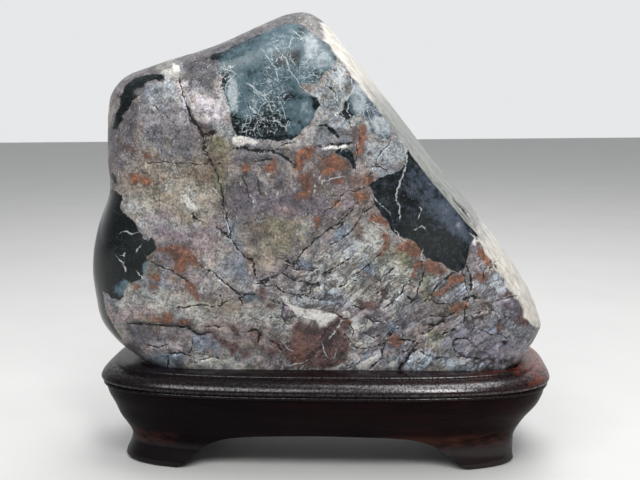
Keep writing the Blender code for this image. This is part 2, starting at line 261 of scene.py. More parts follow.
# Rust: outlines on the chart.
RUST = [
    [(-87, 42), (-84, 41.5), (-82, 39.5), (-84, 39.5), (-86, 41)],
    [(-79, 39), (-77, 38.5), (-77.5, 37), (-79, 37)],
    [(-85, 30), (-82, 30), (-80, 29), (-78, 27.5), (-75.5, 27), (-77, 25), (-79, 25.5),
     (-81, 26.5), (-83, 25.5), (-84.5, 27)],
    [(-73, -4), (-70, -2.5), (-66, -3), (-62, -3), (-59, -4), (-57, -6), (-55, -9), (-53, -12),
     (-56, -12), (-59, -10), (-61, -12), (-62, -15), (-64, -15.5), (-66, -13), (-66, -10),
     (-67, -7), (-70, -6)],
    [(-75, -15), (-73, -15), (-72, -18), (-74, -19), (-76, -17)],
    [(-76, -20.5), (-72.5, -20.5), (-73, -22), (-76, -21.5)],
    [(-84, -20), (-80, -20), (-80.5, -22.5), (-83.5, -22.5)],
    [(-61, -18.5), (-58, -19), (-56, -22), (-54, -25), (-54.5, -27), (-57, -25.5), (-59, -23),
     (-60, -20.5)],
    [(-76, -35), (-72, -34.5), (-69, -33), (-67, -33), (-66.5, -36), (-68, -38), (-72, -37),
     (-75, -36.5)],
    [(-63.5, -36.5), (-60, -36), (-57, -36.5), (-58, -37.5), (-61, -38), (-64, -38)],
    [(-76, -40), (-73, -40), (-72, -41), (-75, -42)],
    [(-25, 32.5), (-22, 34), (-20.5, 36), (-19, 33), (-18.5, 31), (-22, 30.5), (-24.5, 31)],
    [(-35, 34), (-33, 34), (-32, 32), (-33, 31), (-34.5, 32)],
    [(-12, 36), (-11, 39), (-8, 41), (-5, 42), (-3, 41), (-4, 37.5), (-7, 36), (-8, 33),
     (-9, 31), (-11, 32), (-10.5, 34)],
    [(-9, 29.5), (-6.5, 30), (-5, 29), (-4, 26), (-4, 23), (-5, 21), (-8, 20), (-10, 18.5),
     (-10.5, 20), (-8.5, 22), (-8, 24), (-9, 26)],
    [(0, 36.5), (3, 38), (6, 38), (9, 37.5), (11, 36), (13, 34), (12, 32), (9, 31), (6, 29.5),
     (3, 29), (1, 30), (2, 32), (0.5, 34)],
    [(6, 27), (8, 27.5), (10, 26.5), (9.5, 24.5), (7, 24.5), (6, 25.5)],
    [(6, 18), (8, 18.5), (9, 16.5), (7, 14.5), (6, 15.5)],
    [(-2, 10), (0, 9.5), (-0.5, 7), (-1, 4.5), (-2, 7)],
    [(16, 46), (18, 52), (20, 52), (21, 48), (20, 45), (18.5, 42), (18, 38.5), (16.5, 40),
     (17, 43)],
    [(20, 28), (22, 29), (24, 28.5), (23, 26), (20, 26)],
    [(15, 21), (18, 21), (22, 20), (21, 18), (18.5, 17.5), (16, 19)],
    [(24, 12), (27, 10.5), (30, 8.5), (31, 7), (28, 7), (25, 8.5), (22, 8.5), (23, 10.5)],
    [(28, 2), (29.5, 0), (28.5, -3), (27, -7), (28.5, -8), (30, -4), (31, 1), (30, 3)],
    [(35, -2), (37, -1), (40, 0), (43, -1.5), (44.5, -4), (45.5, -6), (44, -8), (41, -7),
     (38, -5), (35.5, -4.5)],
    [(47, -9), (50, -9), (53, -10.5), (56, -13), (57.5, -15), (54, -15.5), (51, -14.5),
     (48, -14), (46.5, -12)],
    [(42, -16), (43.5, -13), (46, -9.5), (44, -10), (42, -13)],
    [(58, -16), (61, -15.5), (64.5, -16.5), (64, -19), (61.5, -19), (59, -21.5), (57, -23.5),
     (54, -25), (51, -25), (51.5, -23.5), (54, -23.5), (56.5, -22), (59, -19), (57, -17.5)],
    [(72, -4), (76, -5), (79, -8), (77, -11), (75, -11), (73, -9), (70.5, -6)],
    [(79, -13.5), (82, -12.5), (83, -14.5), (80, -15)],
    [(70, -14), (74, -15.5), (76, -17.5), (72.5, -19), (70, -16.5)],
    [(32, -43), (36, -43.5), (37.5, -46), (35, -48.5), (32, -47.5)],
    [(58, -32), (60, -30.5), (63, -29), (66, -27.5), (67, -30), (64, -31.5), (61, -33.5)],
]

# Brown and maroon patches, outlined on the chart.
MAROON = [
    [(-12, -37), (-9, -36.5), (-6, -38), (-3, -38.5), (0, -40.5), (3, -38.5), (6, -36.5),
     (8, -34.5), (11, -35), (14, -35.5), (14, -39), (10.5, -42), (12, -45), (14, -49),
     (13, -54), (9, -57), (3, -58), (-6, -57), (-13, -55.5), (-16, -52), (-14, -48),
     (-12, -45), (-13, -41)],
    [(-50, -41), (-47, -41), (-46, -44), (-44, -45), (-40, -46), (-37, -46), (-36, -50),
     (-38, -52.5), (-41, -52), (-42, -49), (-45, -47.5), (-48, -44)],
    [(-42, -37.5), (-39, -37.5), (-37, -41), (-35.5, -44), (-37.5, -43.5), (-40, -41)],
    [(-35, -51), (-32, -51), (-33, -53.5), (-35, -53)],
    [(-33, -41), (-29, -40.5), (-26, -42), (-26.5, -45), (-28, -48), (-29, -46),
     (-28.5, -43.5), (-31, -42.5)],
    [(-22, -45), (-19, -45.5), (-16, -48.5), (-17, -51), (-20, -49.5)],
    [(-27, -48), (-22, -49), (-18, -51), (-20, -52), (-25, -50.5)],
    [(-27, -21), (-25, -21.5), (-24, -24.5), (-24.5, -28), (-27, -27)],
    [(-25, -28.5), (-21, -28.5), (-20, -31), (-23, -31)],
    [(17, -27.5), (21, -28), (24, -28), (26, -30), (25, -32.5), (21, -31.5), (17, -31)],
    [(-34, -6), (-32, -8), (-30, -12), (-31.5, -11), (-34, -9)],
    [(80, -24.5), (85, -23), (88, -21.5), (90, -23), (91, -25.5), (86, -26), (83, -26.5),
     (80, -27)],
    [(90, -30), (93, -34), (96, -35), (95, -38), (91, -38.5), (87.5, -38), (89, -35)],
    [(14.5, 26), (16, 28.5), (17.5, 28), (16.5, 25), (15.5, 24)],
    [(-61, -8), (-59, -6.5), (-57, -8), (-59, -9.5)],
    [(78, -38), (82, -37.5), (83, -40), (80, -42)],
]

# White and cream patches, outlined on the chart; one of them is a painted highlight.
WHITE = [
    [(-40, 45.5), (-38, 47.5), (-34, 47.5), (-31.5, 45.5), (-27, 44.5), (-29, 43), (-33, 43.5),
     (-37, 42), (-39.5, 43.5)],
    [(-17.5, -25.5), (-15.5, -25.5), (-14, -28.5), (-11.5, -30), (-6, -31), (0, -31.5),
     (4, -33), (8.5, -33.5), (6.5, -36), (3, -37.5), (0, -36.5), (-3, -36), (-7, -35),
     (-11, -33), (-14, -30), (-17, -27)],
    [(-1, -36.5), (4, -37), (3, -39.5), (0, -39)],
    [(10, -32.5), (13, -32), (14, -34), (10.5, -34)],
    [(16, -57), (18, -55.5), (21, -54), (25, -51.5), (28, -49.5), (28, -51.5), (25.5, -55),
     (22, -58), (17, -58)],
    [(30.5, -57), (33, -54), (35, -54.5), (33, -57)],
    [(68, 1), (70.5, 0), (70, -2.5), (68.5, -1.5)],
    [(-1.5, 90.5), (2, 90), (6.5, 88), (7, 87), (3, 88), (0, 89)],
    [(-67, 80), (-64, 79), (-63.5, 77), (-65.5, 76.5)],
    [(46.8, 29.6), (48.5, 30), (49.3, 28.6), (47.8, 27.9)],
    [(53.7, 23.4), (54.6, 22.8), (54.3, 21.6), (53.5, 22.2)],
    [(-98.6, -0.2), (-97.2, -0.6), (-97.2, -1.6), (-98.4, -1.2)],
    [(-91.6, 16.4), (-90.4, 16), (-90.6, 14.8), (-91.6, 15.2)],
    # A painted highlight on the lump at the left, drawn as a white patch.
    [(-62, 20.5), (-60, 20.5), (-57, 17), (-55, 14), (-56, 13), (-59, 15), (-61, 18)],
    [(1, 41), (4, 42.6), (8, 42), (12, 43), (12, 42), (8, 40.8), (4, 41)],
]

# Soft washes of colour on the ground rock: colour, place, half length, half width, turn and
# strength.
WASHES = [
    ("buff", -62, 27, 26, 16, 0, 0.9), ("buff", -76, 18, 10, 6, 0, 0.7),
    ("grey", -70, 52, 18, 14, 0, 0.9), ("frost", -55, 63, 11, 6, -50, 1.0),
    ("frost", -42, 65, 4, 8, 0, 0.9), ("cloud", -42, 50, 6, 4, -20, 0.9),
    ("cloud", -67, 68, 4, 9, 0, 0.9), ("dusk_and_shade", -60, 40, 14, 7, 0, 0.45),
    ("brown", -54, 30, 8, 6, 0, 0.5), ("brown", -46, 26, 6, 9, 0, 0.85),
    ("dusk_and_shade", -20, 18, 15, 11, 0, 0.3), ("dusk_and_shade", -15, 38, 13, 5, 0, 0.5),
    ("buff", -57, 10, 8, 7, 0, 0.9), ("pale", -51, -10, 8, 10, 0, 1.0),
    ("pale", -66, 79, 5, 4, 0, 0.9), ("dusk_and_shade", -53, 75, 9, 7, -30, 0.9),
    ("dusk_and_shade", -50, 81, 12, 4, 20, 0.6), ("blue", -76, 65, 7, 6, 0, 0.9),
    # The dusk washes at (-87, 52) and (-92, 38) are painted shade along the left edge.
    ("pale", -72, 61, 5, 3, 0, 0.4), ("dusk_and_shade", -87, 52, 5, 13, 0, 0.7),
    ("dusk_and_shade", -92, 38, 4, 12, 0, 0.4), ("brown", -46, 38, 6, 10, -10, 0.7),
    ("olive", -44, 42, 7, 5, 0, 0.6), ("olive", -46, 24, 4, 9, 0, 0.5),
    # The pale wash at (-58, 18) is a painted highlight on the lump at the left.
    ("pale", -58, 18, 6, 4, -45, 0.7), ("pale", -80, 12, 9, 7, -40, 1.0),
    ("lilac", -62, 4, 20, 6, -20, 0.8), ("pink", -52, -4, 10, 6, -30, 0.5),
    ("dusk_and_shade", -34, 22, 13, 10, 0, 0.8), ("dusk_and_shade", -28, 36, 9, 5, 0, 0.8),
    ("lilac", -14, 16, 26, 7, 0, 1.0), ("dusk_and_shade", -20, 17, 22, 7, 0, 0.5),
    ("dusk_and_shade", -8, 16, 12, 5, 0, 0.5), ("pink", -16, 15, 5, 3, 0, 0.6),
    ("olive", -18, 3, 11, 8, 0, 0.7), ("brown", -17, 1, 10, 7, 0, 0.3),
    ("buff", -12, 6, 4, 3, 0, 0.5), ("brown", -30, 3, 5, 6, 0, 0.6),
    ("pale", -18, 43, 9, 2, 0, 0.5), ("dusk_and_shade", -27, 41.5, 5, 2.5, 0, 0.7),
    ("pale", -8, 45, 6, 2, 0, 0.4), ("cloud", 5, 60, 11, 11, 0, 0.9), ("dusk_and_shade", 0, 55, 3, 3, 0, 0.4),
    ("dusk_and_shade", 4, 65, 3, 3, 0, 0.5), ("dusk_and_shade", 8, 50, 8, 2, -10, 0.8), ("dusk_and_shade", 16, 49, 3, 4, 0, 0.6),
    ("cloud", 9, 73, 4, 10, -20, 1.0), ("cloud", 24, 41, 5, 7, 0, 0.5),
    ("cloud", 34, 41, 5, 8, -30, 0.9), ("cloud", 25, 52, 10, 6, -50, 0.9),
    ("dusk_and_shade", 4, 29, 12, 6, 0, 0.6), ("brown", 18, 24, 6, 9, 0, 0.8),
    ("buff", 20, -14, 26, 11, -15, 0.5), ("pale", 8, -10, 17, 4, -5, 0.6),
    ("pale", 20, 1, 9, 9, 0, 0.8), ("cloud", 10, -4, 8, 7, 30, 0.6),
    ("cloud", 26, -8, 5, 5, 0, 0.8), ("pale", 34, -17, 8, 8, 0, 0.8),
    ("cloud", 61, -22, 7, 4, 0, 0.8), ("blue", 9, 3, 7, 3, 35, 0.9),
    ("olive", 32, -10, 8, 12, 0, 0.7), ("olive", 38, -13, 5, 11, -20, 0.9),
    ("pale", 36, -23, 4, 12, -30, 0.7), ("olive", 15, -21, 10, 3, 0, 1.0),
    ("olive", 22, -24, 3, 4, 0, 1.0), ("olive", -4, -25, 4, 3, 0, 0.8),
    ("pale", 6, -19, 14, 5, 0, 0.9), ("cloud", 4, -26, 12, 4, 0, 0.9),
    ("pale", 18, -24, 8, 5, 0, 0.6), ("blue", 22, -15, 4, 3, 0, 1.0),
    ("blue", -6, -12, 5, 3, 0, 0.9), ("teal", -33, -25, 6, 2.5, -10, 0.8),
    ("blue", -38, -18, 8, 5, 0, 0.6), ("olive", 49, -20, 7, 7, 0, 0.9),
    ("olive", 53, -46, 5, 4, 0, 1.0), ("steel", 78, -19, 11, 6, -15, 0.9),
    ("cloud", 77, -18, 7, 3.5, -15, 0.7), ("steel", 60, -24, 6, 4, 0, 0.9),
    ("lilac", 86, -29, 7, 5, 0, 1.0), ("grey", 78, -35, 5, 3, 0, 0.9),
    ("dusk_and_shade", 90, -31, 7, 7, 0, 0.8), ("cloud", 55, -20, 4, 7, 0, 0.6),
    ("dusk_and_shade", 39, -34, 7, 6, 0, 0.7), ("steel", 74, -48, 17, 9, 0, 1.0),
    ("lilac", 80, -50, 10, 4, 0, 0.6), ("lilac", 68, -44, 8, 4, 0, 0.6),
    ("steel", 36, -40, 16, 8, 30, 0.5), ("cloud", 40, -55, 20, 4, 0, 1.0),
    ("cloud", 72, -57, 16, 3, 0, 0.9), ("blue", 34, -37, 5, 3, 0, 0.8),
    ("brown", 50, -33, 10, 3, 0, 0.4), ("steel", 62, -36, 14, 6, 0, 0.4),
    ("brown", 44, -41, 7, 3, 0, 0.5), ("pale", 17, -46, 5, 2, 0, 0.9),
    ("pale", 18, -38, 4, 4, 0, 0.7), ("dusk_and_shade", 27, -38, 5, 5, 0, 0.5),
    ("blue", -52, -46, 6, 4, 0, 0.9), ("blue", -70, -54, 10, 2, 0, 1.0),
    ("pale", -48, -56, 10, 3, 0, 0.9), ("pale", -72, -28, 16, 6, 0, 0.9),
    ("pink", -84, -33, 9, 4, 0, 0.7), ("lilac", -52, -19, 9, 7, 0, 0.8),
    ("pale", -52, -21, 5, 3, 0, 0.6), ("pale", -56, -35, 12, 2.5, 0, 0.7),
    ("dusk_and_shade", -68, -44, 9, 3, 0, 0.5), ("grey", -72, -48, 10, 3, 0, 0.6),
    ("pale", -30, -34, 12, 4, 0, 0.6), ("lilac", -15, -32, 3, 4, 0, 0.9),
    ("buff", -25, -8, 9, 6, 0, 0.8), ("brown", -24, -46, 9, 6, 0, 0.6),
    ("brown", -9, -48, 8, 7, 0, 0.6), ("dusk_and_shade", 4, -46, 6, 6, 0, 0.7), ("dusk_and_shade", 1, 24, 7, 4, 0, 0.4),
    ("brown", 0, 28, 8, 6, 0, 0.5), ("pink", 25, 19, 5, 7, 0, 0.4), ("lilac", 12, 20, 6, 5, 0, 0.6),
    ("olive", 60, -31, 6, 3, 20, 0.7), ("buff", -42, -30, 8, 3, 0, 0.6),
    # The dusk wash at (-82, -44) is painted shade on the lower left underside.
    ("dusk_and_shade", -82, -44, 8, 7, 50, 0.8), ("dusk_and_shade", -62, 84, 8, 3, 20, 0.6),
    ("dusk_and_shade", -76, 78, 8, 3, 30, 0.5), ("dusk_and_shade", 91, -26, 4, 5, 0, 0.9),
    ("brown", 18, 4, 4, 7, 0, 0.9), ("pale", 25, -2, 4, 6, 0, 0.8), ("pale", 32, -17, 4, 8, 0, 0.8),
    ("pale", 54, -20, 4, 5, 0, 0.7), ("dusk_and_shade", 40, -27, 5, 4, -20, 0.6),
    ("cloud", 9, 62, 4, 6, 0, 0.9), ("cloud", 15, 54, 5, 4, 0, 0.8),
    ("frost", -62, 65, 4, 6, 0, 0.7), ("dusk_and_shade", -79, 65, 3, 6, 0, 0.7),
    ("dusk_and_shade", -69, 47, 15, 6, 0, 0.5), ("brown", -54, 49, 4, 4, 0, 0.7),
    ("dusk_and_shade", -3, 1, 4, 3, 0, 0.7), ("pale", -66, 7, 9, 3, -5, 0.7), ("pale", -53, 13, 4, 4, 0, 0.6),
    ("pale", -72, 25, 4, 4, 0, 0.5), ("pale", -44, -20, 9, 4, 0, 0.6),
    ("dusk_and_shade", -62, -42, 20, 3, 0, 0.4), ("dusk_and_shade", -60, -53, 5, 4, 0, 0.6),
    ("pale", -27, -40, 4, 2, 0, 0.6), ("dusk_and_shade", 72, -42, 12, 4, 0, 0.35),
    ("dusk_and_shade", 8, 84, 5, 3, -40, 0.7), ("dusk_and_shade", 17, 74, 3, 4, 0, 0.6),
]

FAR_FROM_LINE = 9.0               # millimetres, where no line is near
LINE_MARGIN = 3                   # how far round a line its distance is worked out

# Dark cracks: half width in millimetres, then points on the chart.
CRACKS = [
    (0.35, [(-64, 73), (-62.5, 66), (-61, 61), (-60, 57)]),
    (0.9, [(-60.5, 60), (-59, 55), (-56, 51.5), (-54, 49), (-51, 48), (-48, 48.5)]),
    (0.9, [(-54.5, 49), (-53, 46.5), (-52, 42), (-52, 39)]),
    (0.7, [(-52.5, 42), (-51, 38), (-49, 34)]),
    (0.5, [(-49, 34), (-46.5, 29), (-45, 24.5), (-44, 20), (-43.5, 15)]),
    (0.3, [(-43.5, 15), (-42, 10), (-41, 5), (-40, 0), (-37, -5), (-34, -8)]),
    (0.25, [(-78, 35), (-70, 35.3), (-62, 35), (-56, 34), (-45, 34.5)]),
    (0.5, [(-57.5, 11), (-56, 9.5), (-54, 8)]),
    (0.6, [(-46, 5), (-43, 2.5), (-41, 1)]),
    (0.25, [(-75, 60), (-70, 56.5), (-66, 53)]),
    (0.3, [(-35, 28), (-33.5, 25), (-32, 20), (-31, 17)]),
    (0.25, [(-28, 27), (-27, 21)]),
    (0.9, [(-38, 41.5), (-33, 41.2), (-29, 40)]),
    (0.8, [(-29, 40), (-25, 40.5), (-20, 40), (-17, 38), (-13, 35), (-11.5, 33)]),
    (0.5, [(-29, 35.5), (-26, 36), (-22, 36)]),
    (0.4, [(-20, 41), (-17, 43), (-12, 44)]),
    (0.7, [(-1, 42), (3, 42.5), (6, 43), (10, 43), (14, 43.5)]),
    (0.3, [(22, 29), (25, 33), (25.5, 37), (28, 40), (31, 43)]),
    (0.3, [(24, 33), (28, 33), (30, 31)]),
    (0.25, [(17, 44), (16, 37), (15.5, 32)]),
    (0.45, [(-10, -9), (-8, -5), (-4, -2), (-1, 1), (4, 5), (9, 8), (13, 12), (17, 16)]),
    (0.35, [(5, -2), (10, 1), (14, 3.5), (17, 8), (19, 12), (20, 15)]),
    (0.3, [(4, 5), (8, 5.5), (11, 8)]),
    (0.3, [(10, 12), (14, 14.5), (18, 17)]),
    (0.5, [(-34, -8), (-31, -9), (-30, -14), (-28.5, -17), (-27, -19), (-24, -19)]),
    (0.9, [(-26, -19), (-23, -17.8), (-21, -16.3)]),
    (0.4, [(-21, -16), (-17.5, -15), (-15, -13), (-13, -11), (-12, -10)]),
    (0.9, [(-15, -10), (-13.5, -11), (-12, -11.5)]),
    (0.4, [(-11, -10), (-9, -12.5)]),
    (0.4, [(-10, -9), (-8.5, -6)]),
    (0.35, [(-16, -16), (-12, -18), (-8, -19), (-4, -20), (-1, -19), (0, -22)]),
    (0.3, [(-29, -20), (-20, -21), (-18, -23), (-12, -25), (-8, -25)]),
    (0.8, [(-10, -25.3), (-8, -25), (-6, -25.2)]),
    (0.4, [(-3, -26), (0, -27), (3, -27.5)]),
    (0.35, [(2, -14.5), (5, -15)]),
    (0.3, [(-12, -13), (-6, -14), (-2, -13)]),
    (0.3, [(-17, -27), (-17, -32), (-16, -37)]),
    (0.35, [(27, -6), (25, -8), (22, -11), (20, -13), (17, -14.5)]),
    (0.3, [(13, -8), (9, -11), (3, -14)]),
    (0.35, [(37, -23), (35, -26), (32, -29), (28, -31)]),
    (0.4, [(20, -31), (17, -31), (15, -30)]),
    (0.3, [(-76, -10), (-72, -12), (-69, -13.5)]),
    (0.45, [(-72, -12), (-65, -15), (-62, -17), (-60, -18.5)]),
    (0.55, [(-86, -38), (-80, -38.5), (-73, -38.5), (-70, -39), (-65, -39.3), (-60, -39.5)]),
    (0.55, [(-60, -39.5), (-58, -41.5), (-56, -43), (-54, -43), (-50, -42)]),
    (0.35, [(-64, -30.5), (-60, -30.3), (-56, -29.6), (-54, -29), (-50, -29.8), (-45, -29.5),
            (-42, -28)]),
    (0.35, [(-51, -39.3), (-48, -39), (-42, -39.5)]),
    (0.3, [(-58, -45), (-58.5, -51)]),
    (0.35, [(-68, -51.5), (-62, -51), (-58, -52.5)]),
    (0.4, [(-68.5, -53), (-68.5, -57)]),
    (0.3, [(-54, -54), (-50, -53), (-46, -53.5)]),
    (0.3, [(-53, -12), (-48, -15), (-44, -18), (-42, -20), (-40, -22.5)]),
    (0.6, [(-40, -22.5), (-38, -24), (-35, -25.5), (-32, -24.5), (-30, -24)]),
    (0.3, [(-45, -25), (-44, -29)]),
    (0.3, [(-37, -24), (-35, -28)]),
    (0.3, [(11, -43), (13, -45), (15, -48), (18, -49), (22, -48.5), (27, -47), (29, -44),
           (31, -42), (34, -38), (35, -37)]),
    (0.5, [(22, -58), (25, -55.5), (27.5, -53), (28, -50), (30, -46)]),
    (0.35, [(47, -14), (46, -18), (44, -22), (44, -26), (41, -28)]),
    (0.35, [(60, -15), (56, -18), (52, -22), (50, -25), (46, -28.5)]),
    (0.6, [(40, -26), (42, -27), (44, -25)]),
    (0.3, [(40, -18), (37, -22), (35, -26), (33, -29)]),
    (0.6, [(64, -10), (66, -12), (68, -15), (68, -22)]),
    (0.9, [(65, -27), (68, -25.5), (70, -26)]),
    (0.45, [(66, -29), (65.5, -33), (64.5, -37)]),
    (0.3, [(64, -14), (65, -17), (66, -22), (67, -26)]),
    (0.3, [(73.5, -17), (74, -13), (76, -12.5), (79, -10)]),
    (0.3, [(78, -28), (80, -27), (84, -26), (88, -25)]),
    (0.5, [(50, -34.5), (54, -34), (57, -35), (60, -33.5)]),
    (0.6, [(47, -39), (50, -38.5), (52, -39), (56, -37)]),
    (0.5, [(46, -42), (48, -42.5), (50, -41)]),
    (0.35, [(60, -45), (62, -44.5), (66, -44)]),
    (0.4, [(60, -46), (60, -50), (63, -52), (68, -53), (72, -54)]),
    (0.3, [(51, -53.5), (55, -53)]),
    (0.7, [(36, -58), (39, -54), (41, -51), (43, -50)]),
    (0.4, [(41, -51), (44, -47.5), (45, -46), (42, -46), (36, -45)]),
    (0.4, [(44, -50), (47, -51.5)]),
    (0.9, [(82.5, -46), (83.3, -46.3)]),
    (0.35, [(31, -44), (33, -41), (36, -39)]),
    (0.3, [(-33, 62), (-31, 58), (-28, 56)]),
    (0.3, [(13, -38), (15, -40), (15, -43)]),
    (0.35, [(60, 18), (63, 14), (66, 11)]),
    (0.3, [(67, 4), (70, 2), (71, 0.5)]),
    (0.5, [(-32, -41), (-29, -40.5), (-27, -42), (-28, -46)]),
    (0.4, [(-22, -46), (-19, -47), (-17, -50)]),
    (0.35, [(7, -33.5), (11, -36), (14, -35)]),
    (0.3, [(5, -39), (2, -41), (1, -44)]),
    (0.25, [(9, 20), (13, 22), (17, 22), (20, 24)]),
    (0.25, [(2, 13), (6, 15), (9, 18)]),
    (0.3, [(21, 13), (24, 16), (27, 17)]),
    (0.25, [(-22, -27), (-18, -29), (-14, -30)]),
    (0.3, [(26, -19), (29, -16), (33, -13)]),
    (0.25, [(9, -21), (14, -19), (19, -18)]),
    (0.25, [(24, -25), (28, -23), (31, -20)]),
    (0.3, [(50, -27), (53, -29), (57, -29)]),
    (0.3, [(70, -33), (74, -31), (78, -32)]),
    (0.25, [(72, -40), (76, -42), (81, -42), (85, -45)]),
    (0.3, [(53, -43), (57, -42), (60, -40)]),
    (0.25, [(36, -51), (40, -49), (42, -46)]),
    (0.3, [(21, -35), (24, -37), (28, -37)]),
    (0.25, [(20, -42), (24, -44), (27, -43)]),
    (0.25, [(-28, -33), (-24, -35), (-19, -35)]),
    (0.3, [(-6, -20), (-4, -23), (-5, -26)]),
    (0.25, [(-78, -48), (-73, -49), (-69, -48)]),
    (0.3, [(-24, 50), (-20, 48.5), (-16, 48)]),
    (0.3, [(8, 57), (12, 55), (14, 51)]),
    (0.3, [(3, 70), (7, 66), (8, 61)]),
]

# White veins: half width in millimetres, then points on the chart.
VEINS = [
    (0.3, [(-33, 70.5), (-30, 68.5), (-26, 65.5), (-25, 64)]),
    (0.25, [(-25, 64), (-23, 61), (-22, 58), (-20.5, 55), (-21, 53)]),
    (0.2, [(-31, 60), (-29, 57.5), (-26, 55), (-24, 53.5)]),
    (0.2, [(-22, 67), (-25, 65)]),
    (0.3, [(-15, 80), (-14, 77.5), (-12, 74), (-10, 72)]),
    (0.35, [(-10, 72), (-9, 69), (-7, 67.5), (-4, 66), (-1, 64.5)]),
    (0.3, [(4, 75), (5.5, 73), (7, 71)]),
    (0.4, [(7, 79), (9, 75), (9, 70), (10, 67)]),
    (0.3, [(14, 72), (15, 69), (14, 66), (12.5, 63)]),
    (0.25, [(13, 61), (12, 58), (13.5, 56)]),
    (0.25, [(-20, 86), (-18, 84), (-15, 82)]),
    (0.25, [(-25, 84), (-22, 80), (-20, 77)]),
    (0.25, [(-12, 94), (-9, 92), (-8, 90)]),
    (0.35, [(37.5, 29), (36, 26), (35, 23), (34, 20), (34.5, 17.5), (36, 15), (36, 10)]),
    (0.4, [(38.5, 42), (39, 38), (38.5, 34), (37.5, 29)]),
    (0.25, [(34, 20), (34.3, 18), (35, 17)]),
    (0.2, [(24, 20), (26, 17), (29, 15), (31, 12)]),
    (0.25, [(45, 14.5), (46, 13.5), (44, 10)]),
    (0.2, [(43, 5), (46, 6.5), (47, 5.5)]),
    (0.25, [(34, 4), (36, 1), (38, 0)]),
    (0.3, [(-89, 3.5), (-87, 4), (-85, 2.5), (-82, 3.5)]),
    (0.35, [(-82.5, -5), (-81, -3)]),
    (0.35, [(-88, -6), (-88.5, -10), (-88, -14)]),
    (0.3, [(-91, -8), (-89, -11)]),
    (0.35, [(-82, -15), (-81, -16.5), (-80, -17)]),
    (0.25, [(-43, 11), (-42, 7), (-41, 2), (-40, -1)]),
    (0.3, [(-48, 23.5), (-46, 21)]),
    (0.35, [(4.5, -44), (6.5, -41.5)]),
    (0.3, [(8, -39.5), (10, -36.5)]),
    (0.3, [(6, -53), (7, -51)]),
    (0.3, [(1, -47), (2, -50), (3, -52)]),
    (0.35, [(-15, -56.8), (-11, -56), (-6, -54.5)]),
    (0.25, [(-17, -46), (-14, -49), (-12.5, -50)]),
    (0.35, [(4, 27), (7, 28), (10, 28.5)]),
    (0.3, [(-4, -15), (-1, -13), (1, -11.5)]),
    (0.3, [(5, -23), (7, -24)]),
    (0.3, [(-42, -55.5), (-39, -53)]),
    (0.25, [(24, 8), (27, 6), (30, 3)]),
    (0.3, [(46, -5), (45.5, -8), (47, -9)]),
]

# Colours of the ground rock; the darkest one also paints shade.
PALETTE = {
    "grey": (0.245, 0.245, 0.28),
    "buff": (0.315, 0.285, 0.235),
    "lilac": (0.225, 0.195, 0.235),
    "pale": (0.42, 0.435, 0.42),
    "cloud": (0.37, 0.42, 0.455),
    "frost": (0.58, 0.56, 0.60),
    "blue": (0.18, 0.225, 0.285),
    "steel": (0.27, 0.285, 0.33),
    "teal": (0.045, 0.09, 0.11),
    "olive": (0.225, 0.232, 0.15),
    "brown": (0.125, 0.09, 0.07),
    "pink": (0.32, 0.235, 0.235),
    "dusk_and_shade": (0.08, 0.08, 0.095),
}

# Colours of what lies over the ground, and of the lacquered wood; the first two are tints.
TINTS = {
    "warm": (1.2, 0.98, 0.75),
    "cool": (0.97, 0.99, 1.06),
    "fleck": (0.052, 0.05, 0.054),
    "hairline": (0.030, 0.027, 0.028),
    "crevice": (0.025, 0.02, 0.018),
    "spar": (0.62, 0.61, 0.58),
    "shaded bone": (0.32, 0.30, 0.28),
    "bone": (0.74, 0.72, 0.69),
    "shaded plum": (0.022, 0.012, 0.012),
    "plum": (0.15, 0.078, 0.07),
    "ember": (0.20, 0.09, 0.05),
    "soot": (0.022, 0.014, 0.015),
    "scorch": (0.045, 0.024, 0.018),
    "shaded iron": (0.035, 0.018, 0.016),
    "iron": (0.16, 0.07, 0.042),
    "ochre": (0.50, 0.25, 0.15),
    "sooty iron": (0.045, 0.025, 0.018),
    "old iron": (0.13, 0.065, 0.045),
    "shaded cream": (0.46, 0.435, 0.385),
    "cream": (0.68, 0.65, 0.59),
    "shaded slate": (0.11, 0.12, 0.115),
    "slate": (0.22, 0.235, 0.225),
    "glass": (0.0035, 0.006, 0.007),
    "teal milk and sheen": (0.070, 0.118, 0.142),
    "blue milk and sheen": (0.060, 0.078, 0.108),
    "fog and sheen": (0.38, 0.42, 0.44),
    "thread": (0.46, 0.53, 0.55),
    "dust": (0.62, 0.66, 0.67),
    "vein": (0.56, 0.60, 0.61),
    "crack": (0.006, 0.005, 0.005),
    "black lacquer": (0.0022, 0.0012, 0.0024),
    "dark lacquer": (0.0050, 0.0012, 0.0016),
    "brown lacquer": (0.0045, 0.0018, 0.0026),
    "red lacquer": (0.013, 0.0026, 0.0026),
    "ankle brown": (0.055, 0.022, 0.015),
    "painted red glow": (0.16, 0.030, 0.014),
}

# ---------------------------------------------------------------- the stand's form

